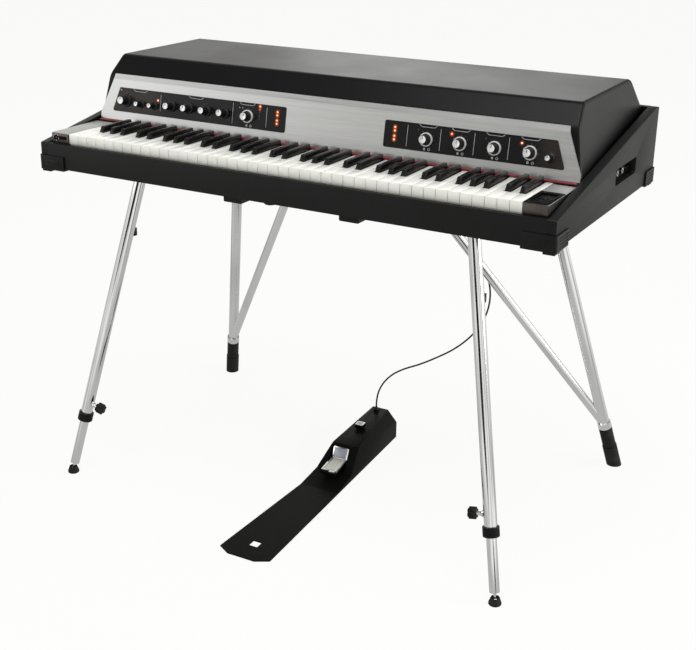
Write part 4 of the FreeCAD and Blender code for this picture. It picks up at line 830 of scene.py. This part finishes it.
# kind: flange radius, flange height, radius at the foot and at the face, length
KNOB_SIZES = {
    "large": (13.5, 4, 9.6, 8.2, 23),
    "medium": (11.8, 4, 8.4, 7.2, 23),
    "small": (9, 3.5, 6.4, 5.4, 21),
    "ringed": (13.4, 5, 9.4, 8, 20),
}
RING_WIDE = 2.6
KNOB_LIFT = 0.3


def knob_piece(name, x, s, kind, pointing):
    """One knob: flange or bright ring, fluted grip, pale cap with a pointer line."""
    flange, flange_high, foot, face, length = KNOB_SIZES[kind]
    place = on_panel(x, s, FACE + KNOB_LIFT)
    bm = bmesh.new()
    core = flange - RING_WIDE if kind == "ringed" else flange
    lathe(bm, ((0, 0), (core - 0.3, 0), (core, 0.3), (core, flange_high - 1.6),
               (core - 0.5, flange_high - 1.1), (foot + 0.4, flange_high - 0.6),
               (foot - 0.5, flange_high), (foot - 0.6, length * 0.55),
               (face - 0.7, length - 1.6), (face - 0.9, length - 0.8), (0, length - 0.8)), place, 40)
    if kind == "ringed":
        lathe(bm, ((core + 0.05, 0), (flange - 0.5, 0), (flange, 0.5), (flange, flange_high - 1),
                   (flange - 0.3, flange_high - 0.35), (flange - 0.9, flange_high),
                   (core + 0.9, flange_high), (core + 0.3, flange_high - 0.3),
                   (core + 0.05, flange_high - 0.9), (core + 0.05, 0)), place, 56, 1)
    grip = length - flange_high - 2.2
    count = {"large": 28, "medium": 24, "small": 20, "ringed": 26}[kind]
    middle = (foot + face) / 2 - 0.55
    lean = -atan((foot - face) / length)
    bars = RING.mesh("grip bars", FINISHES["knob_black"], Count=count, Radius=middle * MM,
                     Start=0.0, Step=2 * pi / count, Lift=(flange_high + 0.3 + grip / 2) * MM,
                     Bar=(1.0 * MM, 1.0 * MM, grip * MM), Lean=lean)
    joined(bm, bars, place, 0)
    rim = face - 0.75
    lathe(bm, ((0, length - 1.2), (rim - 0.2, length - 1.2), (rim, length - 1), (rim, length - 0.35),
               (rim - 0.35, length), (rim - 0.9, length), (rim - 1.2, length - 0.12), (0, length - 0.12)),
          place, 40, 1)
    line = place @ Matrix.Rotation(-pointing, 4, "Z")
    slab(bm, [(-0.55, 0.6), (0.55, 0.6), (0.55, rim - 0.7), (-0.55, rim - 0.7)],
         length - 0.2, length - 0.02, line, 0)
    made = piece("dressed_" + name, bm, ["knob_black", CAPS], name)
    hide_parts(name)


for knob in KNOBS:
    knob_piece(*knob)


# Line work and lamps of the fascias
DIVIDERS = ((-390.7, 31, 66), (-204, 25.6, 68), (-120.7, 26.6, 66.5), (200.4, 25.5, 66.5),
            (270.4, 25.5, 66.5), (340, 25.5, 66.5), (409.2, 25.5, 66.5))
BRACKETS = (-446.2, -298.5, -168.6, 243.1, 311.4, 381.2, 450.5)
RINGED_MARKS = (-163, 243.8, 313.8, 383.8, 453.8)


def fascia_print():
    """Dividers, brackets, small switch marks and scale ticks."""
    bm = bmesh.new()
    base = on_panel(0, 0, FACE)
    for x, low, high in DIVIDERS:
        stroke(bm, [(x, low), (x, high)], 0.75, base)
    for x in BRACKETS:
        stroke(bm, [(x - 19, 71), (x - 13.6, 66.8), (x + 13.6, 66.8), (x + 19, 71)], 0.8, base)
    for x in RINGED_MARKS:
        slab(bm, rounded(4.2, 4.2, 0.4, (x - 4.8, 25.4)), 0, PRINT_HIGH, base)
        lathe(bm, ((1.7, 0), (2.7, 0), (2.7, 0.12), (1.7, 0.12), (1.7, 0)),
              base @ moved(x + 4.7, 25.2), 20)
    for x in (-187.6, -180.5):
        slab(bm, rounded(1.8, 1.8, 0.3, (x, 60.2)), 0, PRINT_HIGH, base)
    slab(bm, rounded(2.6, 2.6, 0.6, (-498.5, 66.4)), 0, PRINT_HIGH, base)
    for _, x, s, kind, _ in KNOBS:
        radius = KNOB_SIZES[kind][0] + 2.6
        ticks = RING.mesh("ticks", PRINT, Count=11, Radius=radius * MM, Start=radians(-60),
                          Step=radians(30), Lift=0.06 * MM, Bar=(1.1 * MM, 0.32 * MM, 0.12 * MM), Lean=0.0)
        joined(bm, ticks, on_panel(x, s, FACE))
    piece("fascia_print", bm, [PRINT])


def lamps():
    """Domed indicator lamps in their thin bezels."""
    groups = {}
    for x, s, kind in LAMPS:
        glass = LIT[kind] if kind else UNLIT
        bm, paints = groups.setdefault(kind, (bmesh.new(), [glass, "knob_black"]))
        size = 2.0 if kind else 1.5
        place = on_panel(x, s, FACE)
        dome = [(size * cos(a), 0.15 + size * 0.75 * sin(a)) for a in
                [pi / 2 * i / 5 for i in range(5)]]
        lathe(bm, [(0, 0), (size, 0)] + dome + [(0, 0.15 + size * 0.75)], place, 16, 0)
        lathe(bm, ((size + 0.05, 0), (size + 0.5, 0), (size + 0.4, 0.3), (size + 0.05, 0.3),
                   (size + 0.05, 0)), place, 16, 1)
    for kind, (bm, paints) in groups.items():
        piece("lamps_" + (kind or "unlit"), bm, paints)


fascia_print()
lamps()


# Cheek blocks beside the keys
CHEEK_INNER, CHEEK_OUTER, CHEEK_FACE = 506.25, 552, 12.84


def cheek_pieces():
    """Silver blocks, the black insert, the dark front plates and the headphone ring."""
    bm = merged("cheek_blocks")
    for face in bm.faces:
        face.material_index = 0 if face.normal.z > 0.5 else 1
    soften(bm, 0.5)
    made = piece("soft_cheek_blocks", bm, ["cheek_silver", "black_plastic"])
    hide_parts("cheek_blocks")
    middle = (CHEEK_INNER + CHEEK_OUTER) / 2
    bm = bmesh.new()
    top = KEY_TOP / MM
    facing = Matrix.Rotation(radians(90), 4, "X")
    width = CHEEK_OUTER - CHEEK_INNER - 1.2
    for side in (-1, 1):
        place = Matrix.Translation(spot(side * middle, CHEEK_FACE, top - 10.6)) @ facing
        slab(bm, rounded(width, 17.6, 1.2), 0, 0.7, place, 0, 0.25)
    slot_place = Matrix.Translation(spot(-middle + 6.5, CHEEK_FACE, top - 10)) @ facing
    slab(bm, rounded(22, 7, 1), 0.7, 1.1, slot_place, 1, 0.15)
    ring_place = Matrix.Translation(spot(-540, CHEEK_FACE, top - 10)) @ facing
    lathe(bm, ((5.9, 0.6), (7.3, 0.6), (7.2, 1.2), (6.6, 1.5), (5.9, 1.2), (5.9, 0.6)), ring_place, 32, 2)
    lathe(bm, ((3.2, 0.6), (5.7, 0.6), (5.8, 2.2), (5.5, 2.4), (3.3, 2.4), (3.2, 1.2), (3.2, 0.6)),
          ring_place, 32, 1)
    piece("cheek_front_plates", bm, [CHEEK_FRONT, GLOSS_INSERT, "chrome"])
    bm = bmesh.new()
    flat = Matrix.Translation(spot(middle, CHEEK_FACE + 43, top))
    border(bm, rounded(45.3, 86.4, 1.2), rounded(33, 61, 1.5), -0.5, 0.6, flat)
    slab(bm, rounded(33.4, 61.4, 1.5), -2, -0.9, flat, 0, 0.3)
    for shift in (-16, 0, 16):
        lathe(bm, ((0, -1), (4.4, -1), (4.1, -0.72), (3.6, -0.66), (0, -0.8)),
              flat @ moved(0, shift), 24, 1)
    piece("cheek_insert", bm, [GLOSS_INSERT, "black_plastic"])


cheek_pieces()


# Felt strip
def felt_piece():
    """Felt with a rounded, slightly ragged front edge."""
    low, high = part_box("felt_strip")
    bm = bmesh.new()
    steps = 420
    height = high.z - low.z
    rows = []
    for i in range(steps + 1):
        x = low.x + (high.x - low.x) * i / steps
        wander = (noise.noise(Vector((x * 60, 3.1, 0))) * 0.00022
                  + noise.noise(Vector((x * 300, 9, 0))) * 0.00012)
        thick = noise.noise(Vector((x * 120, 0, 5))) * 0.00012
        y0 = low.y + 0.0003 + wander
        section = ((high.y, low.z), (high.y, high.z - 0.0001), (y0 + 0.0022, high.z - 0.0001),
                   (y0 + 0.0007, high.z - 0.0006 + thick), (y0, low.z + height * 0.5),
                   (y0 + 0.0007, low.z + 0.0006 - thick), (y0 + 0.0022, low.z))
        rows.append([bm.verts.new((x, y, z)) for y, z in section])
    for a, b in zip(rows, rows[1:]):
        for j in range(7):
            bm.faces.new((a[j], a[(j + 1) % 7], b[(j + 1) % 7], b[j]))
    bm.faces.new(rows[0])
    bm.faces.new(rows[-1][::-1])
    made = piece("felt_edge", bm, ["red_felt"], smooth=radians(60))
    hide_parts("felt_strip")


felt_piece()


# Pedal
PEDAL = Matrix.Translation(spot(13.5, -144, 0)) @ Matrix.Rotation(radians(1), 4, "Z")
# Upper line of the lever seen from the side: (y, z) from its pivot
LEVER_PIVOT = (474, 31)
LEVER_TOP = ((-113, -6.5), (-109, -4), (-58, 4), (-47, 27), (-42, 26),
             (-35, 10), (0, 7))


def pedal_frame(x, y, z):
    """Placing at a point of the pedal's own frame."""
    return PEDAL @ moved(x, y, z)


def tilted(x, start, end):
    """Placing on a slope of the side view: its Y runs up the slope, its Z off it."""
    (ya, za), (yb, zb) = start, end
    angle = atan2(zb - za, yb - ya)
    return pedal_frame(x, LEVER_PIVOT[0] + ya, LEVER_PIVOT[1] + za) @ Matrix.Rotation(angle, 4, "X")


def pedal_pieces():
    """Tread plate with its ribs and chrome rim, the upper plate, cover and button."""
    softened("pedal_cover", 0.8, least=12)
    softened("pedal_base", 0.5, steps=1)
    bm = merged("pedal_tread")
    soften(bm, 1)
    tread = tilted(0, LEVER_TOP[1], LEVER_TOP[2])
    long = dist(LEVER_TOP[1], LEVER_TOP[2])
    slab(bm, rounded(39.6, long + 1.5, 3, (0, long / 2)), -0.2, 1.5, tread, 1, 0.6)
    slab(bm, rounded(33.5, long - 5.5, 2, (0, long / 2)), 1.2, 2, tread, 2, 0.3)
    count = 17
    pitch = 1.8
    ribs = ROW.mesh("tread ribs", RIBBED, Count=count, Pitch=pitch * MM, Length=(long - 8.5) * MM,
                    Thick=0.62 * MM)
    joined(bm, ribs, tread @ moved(-(count - 1) / 2 * pitch, long / 2, 2), 2)
    slab(bm, rounded(13, 8, 1.5), -1, 2.6, tread @ moved(9, -1.5), 1, 0.8)
    upper = tilted(0, LEVER_TOP[2], LEVER_TOP[3])
    rise = dist(LEVER_TOP[2], LEVER_TOP[3])
    slab(bm, rounded(39.6, rise + 3, 2.5, (0, rise / 2)), -0.4, 2, upper, 1, 0.9, 3)
    slab(bm, rounded(33, rise - 3, 1.2, (0, rise / 2)), 1.8, 2.35, upper, 3, 0.15)
    made = piece("dressed_tread", bm, ["pedal_black", "chrome", RIBBED, GREY_FACE],
                 "pedal_tread")
    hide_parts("pedal_tread")
    bm = merged("pedal_button")
    soften(bm, 0.6)
    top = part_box("pedal_button")[1].z / MM
    cap = pedal_frame(-2, 521, top)
    slab(bm, rounded(18.8, 18.8, 1.6), -1.6, 0.5, cap, 1, 0.4)
    slab(bm, rounded(11.5, 11.5, 1), 0.2, 0.65, cap, 2, 0.1)
    made = piece("dressed_button", bm, ["pedal_black", CAPS, GREY_FACE], "pedal_button")
    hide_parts("pedal_button")


pedal_pieces()
protector_details()


# Front legs
UNDERSIDE, SOCKET_FACE, REAR = 701, 695, 586.0
LEG_TOP, LEG_FOOT = (381.3, 96.2, UNDERSIDE), (522.5, -36.1, 0)
TUBE, SLEEVE, COLLAR_HIGH = 12.7, 16.5, 20.0


def leg_frame(side, share):
    """Placing on a front leg's axis, its Z down the leg; share runs from top to floor."""
    top = spot(side * LEG_TOP[0], *LEG_TOP[1:])
    foot = spot(side * LEG_FOOT[0], *LEG_FOOT[1:])
    turn = (foot - top).to_track_quat("Z", "Y").to_matrix().to_4x4()
    return Matrix.Translation(top.lerp(foot, share)) @ turn


def fittings():
    """Leg fittings with rounded edges, a ribbed band on each collar and chrome clamp stems."""
    bm = merged("leg_fittings")
    for group in islands(bm):
        if max(v.co.z for v in group) < 0.6:
            bmesh.ops.delete(bm, geom=group, context="VERTS")
    soften(bm, 0.6, steps=1)
    for side in (-1, 1):
        end = leg_frame(side, 0.80)
        bottom = 12.0
        top = bottom - COLLAR_HIGH
        band = [(TUBE + 0.2, top), (SLEEVE - 0.8, top), (SLEEVE, top + 0.8), (SLEEVE, top + 4)]
        for i in range(4):
            low = top + 5.0 + i * 3.0
            band += [(SLEEVE - 0.8, low), (SLEEVE - 0.8, low + 0.8), (SLEEVE, low + 1.3),
                     (SLEEVE, low + 2.6)]
        band += [(SLEEVE - 0.2, bottom - 0.8), (SLEEVE - 1.2, bottom), (10.2, bottom), (10.2, 0.3),
                 (TUBE + 0.2, 0.3), (TUBE + 0.2, top)]
        lathe(bm, band, end, 48)
        clip = leg_frame(side, 0.2)
        lug = Matrix.Translation(clip.translation + Vector((3 * MM, (TUBE + 4) * MM, 0)))
        slab(bm, rounded(11, 11, 2.5), -8.5, 8.5, lug, 0, 1.2)
    made = piece("dressed_fittings", bm, ["black_plastic"])
    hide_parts("leg_fittings")
    for name, side in (("left", -1), ("right", 1)):
        start = leg_frame(side, 0.757)
        run = start.col[2].xyz
        inward = Vector((-side, 0, 0))
        inward = (inward - run * inward.dot(run)).normalized()
        stem = Matrix.Translation(start.translation) @ inward.to_track_quat("Z", "Y").to_matrix().to_4x4()
        bm = bmesh.new()
        lathe(bm, ((4.02, 13.2), (5.6, 13.2), (6, 14), (6, 16.5), (5.4, 17.2), (4.5, 17.4), (4.5, 27.6),
                   (4.02, 27.9), (4.02, 13.2)), stem, 24)
        piece(name + "_clamp_sleeve", bm, ["chrome"], name + "_clamp_knob")
        softened(name + "_clamp_knob", 1.2, name + "_clamp_knob", least=40)


fittings()


# Screws under and behind the case
def screw_head():
    """A pan head with a shallow dish in its top."""
    bm = bmesh.new()
    lathe(bm, ((0, 0), (3.6, 0), (3.6, 0.5), (3, 1.3), (1.9, 1.7), (1.5, 1.2), (0, 1.1)), Matrix(), 12)
    bmesh.ops.recalc_face_normals(bm, faces=bm.faces)
    mesh = bpy.data.meshes.new("screw head")
    bm.to_mesh(mesh)
    bm.free()
    return placed("screw head", mesh)


def screws():
    """Screws round every leg socket, along the bottom board and across the back."""
    head = screw_head()
    under = []
    sockets = LEG_TOP[:2], (385.6, 462.3)
    for x, y, radius in [(*place, 29.5) for place in sockets] + [(135, 339, 19.5)]:
        for side in (-1, 1):
            for i in range(4):
                angle = pi / 4 + i * pi / 2
                under.append((side * x + radius * cos(angle), y + radius * sin(angle), SOCKET_FACE))
    for x in range(-500, 501, 125):
        for y in (24, 560):
            under_foot = y < 100 and (abs(x) < 30 or abs(x + 97.5) < 35 or abs(x - 164) < 35)
            if not under_foot and all(hypot(abs(x) - px, y - py) > 60 for px, py in sockets):
                under.append((x, y, UNDERSIDE))
    back = [(x, REAR, z) for x in range(-520, 521, 130) for z in (712, 842)]
    turns = {"under": (pi, 0, 0), "back": (-pi / 2, 0, 0)}
    for name, places in (("under", under), ("back", back)):
        mesh = bpy.data.meshes.new("places")
        mesh.from_pydata([spot(*place) for place in places], [], [])
        holder = placed("places", mesh)
        made = SCREWS.mesh("screws", FINISHES["black_metal"], Places=holder, Head=head, Turn=turns[name])
        bpy.data.objects.remove(holder)
        made.shade_smooth()
        mesh_piece("screws_" + name, made, ["black_metal"])
    bpy.data.objects.remove(head)


screws()


# Floor, light and surroundings
# What bright parts see round them: (turn, brightness). The turn is a share of a full circle, 0 in
# front of the piano, 0.25 at its left end, 0.5 behind it and 0.75 at its right end
FAR_WALLS = ((0, 1), (0.03, 1), (0.054, 0.9), (0.07, 0.05), (0.09, 0.08), (0.115, 0.8), (0.16, 0.9),
             (0.2, 0.6), (0.27, 0.5), (0.36, 0.85), (0.43, 0.85), (0.466, 0.2), (0.53, 0.45), (0.575, 1),
             (0.70, 1), (0.76, 0.5), (0.8, 0.9), (0.845, 1), (1, 1))
LOW_WALLS = ((0, 0.01), (0.04, 0.01), (0.05, 0.85), (0.09, 0.9), (0.12, 0.5), (0.15, 0.9), (0.2, 0.6),
             (0.27, 0.5), (0.36, 0.95), (0.43, 1), (0.466, 0.25), (0.53, 0.5), (0.575, 1), (0.7, 1),
             (0.76, 0.4), (0.8, 0.9), (0.84, 0.95), (0.86, 0.4), (0.88, 0.9), (0.945, 0.95), (0.955, 0.01),
             (1, 0.01))
NEAR_FLOOR = ((0, 0.9), (0.02, 0.95), (0.05, 0.9), (0.08, 0.55), (0.125, 0.85), (0.167, 0.4), (0.236, 0.8),
              (0.278, 0.25), (0.333, 0.85), (0.42, 0.6), (0.5, 0.6), (0.556, 0.6), (0.597, 0.8),
              (0.667, 0.7), (0.7, 0.35), (0.745, 1), (0.815, 1), (0.828, 0.02), (0.862, 0.02),
              (0.875, 1), (0.92, 1), (0.96, 0.6), (1, 0.9))


def ring_of(graph, x, y, stops):
    """Brightness by direction round the piano."""
    turn = graph.add("ShaderNodeMath", {"operation": "ARCTAN2"}, (x, y)) / (2 * pi) + 0.5
    return graph.add("ShaderNodeValToRGB", {"stops": [(p, (v, v * 0.995, v * 0.955, 1)) for p, v in stops]},
                     (turn,), "Color")


def studio_floor():
    """Pale floor that keeps a faint shadow; polished parts see a greyer floor with darker bands."""
    bpy.ops.mesh.primitive_plane_add(size=40, location=(0, 0, -0.0005))
    floor = bpy.context.object
    floor.name = "studio_floor"
    f = Finish("Studio floor")
    seen, glossy, through = [f.add("ShaderNodeLightPath", out="Is %s Ray" % kind)
                             for kind in ("Camera", "Glossy", "Transmission")]
    x, y = f.axis(0), f.axis(1)
    away = (x * x + y * y) ** 0.5
    bands = f.blend(away.rise(0.6, 1.6), (0.52, 0.52, 0.5, 1), ring_of(f, x, y, NEAR_FLOOR))
    bands = f.blend(away.rise(3, 5), bands, ring_of(f, x, y, LOW_WALLS))
    white = f.add("ShaderNodeEmission", {}, {"Color": f.blend(glossy, (0.99, 0.995, 0.985, 1), bands),
                                             "Strength": 1.0})
    plain = f.add("ShaderNodeBsdfDiffuse", {}, {
        "Color": f.blend(f.grain(3, 4), (0.83, 0.83, 0.83, 1), (0.86, 0.86, 0.86, 1))})
    share = (seen * 0.93 + glossy + through * 0.93).least(1)
    mix = f.add("ShaderNodeMixShader", {}, (share, plain, white))
    f.add("ShaderNodeOutputMaterial", {}, {"Surface": mix})
    floor.data.materials.append(f.material)


def studio():
    """Broad lamps in a plain bright room."""
    studio_floor()
    world = bpy.data.worlds.new("Studio")
    world.use_nodes = True
    bpy.context.scene.world = world
    w = Graph(world.node_tree)
    way = w.add("ShaderNodeTexCoord", out="Generated")
    x, y, up = [w.add("ShaderNodeSeparateXYZ", {}, (way,), i) for i in range(3)]
    seen = w.add("ShaderNodeLightPath", out="Is Camera Ray")
    walls = w.blend(up.rise(0.2, 0.34), ring_of(w, x, y, LOW_WALLS), ring_of(w, x, y, FAR_WALLS))
    walls = w.blend(up.rise(0.45, 0.95), walls, (0.22, 0.22, 0.22, 1))
    tone = w.blend(seen, walls, (0.985, 0.99, 0.98, 1))
    back = w.add("ShaderNodeBackground", {}, {"Color": tone, "Strength": 1.0})
    w.add("ShaderNodeOutputWorld", {}, {"Surface": back})
    lights = (
        ("Top softbox", (0.4, -0.9, 3.8), (0, 0, 0.75), 2.8, 2, 78),
        ("Right softbox", (3.6, 1, 1.7), (0.4, 0, 0.75), 1.6, 2.4, 72),
        ("Front fill", (-3.3, -2.9, 1.6), (0, 0, 0.7), 2, 1.6, 15),
        ("Rear softbox", (-1.7, 4.4, 2.2), (0, 0, 0.8), 2, 1.6, 10),
    )
    for name, place, aim, wide, high, power in lights:
        data = bpy.data.lights.new(name, "AREA")
        data.shape = "RECTANGLE"
        data.size = wide
        data.size_y = high
        data.energy = power
        lamp = placed(name, data)
        lamp.location = place
        lamp.visible_camera = False
        lamp.rotation_euler = (Vector(aim) - Vector(place)).to_track_quat("-Z", "Y").to_euler()
    bpy.context.scene.view_settings.view_transform = "Standard"


studio()
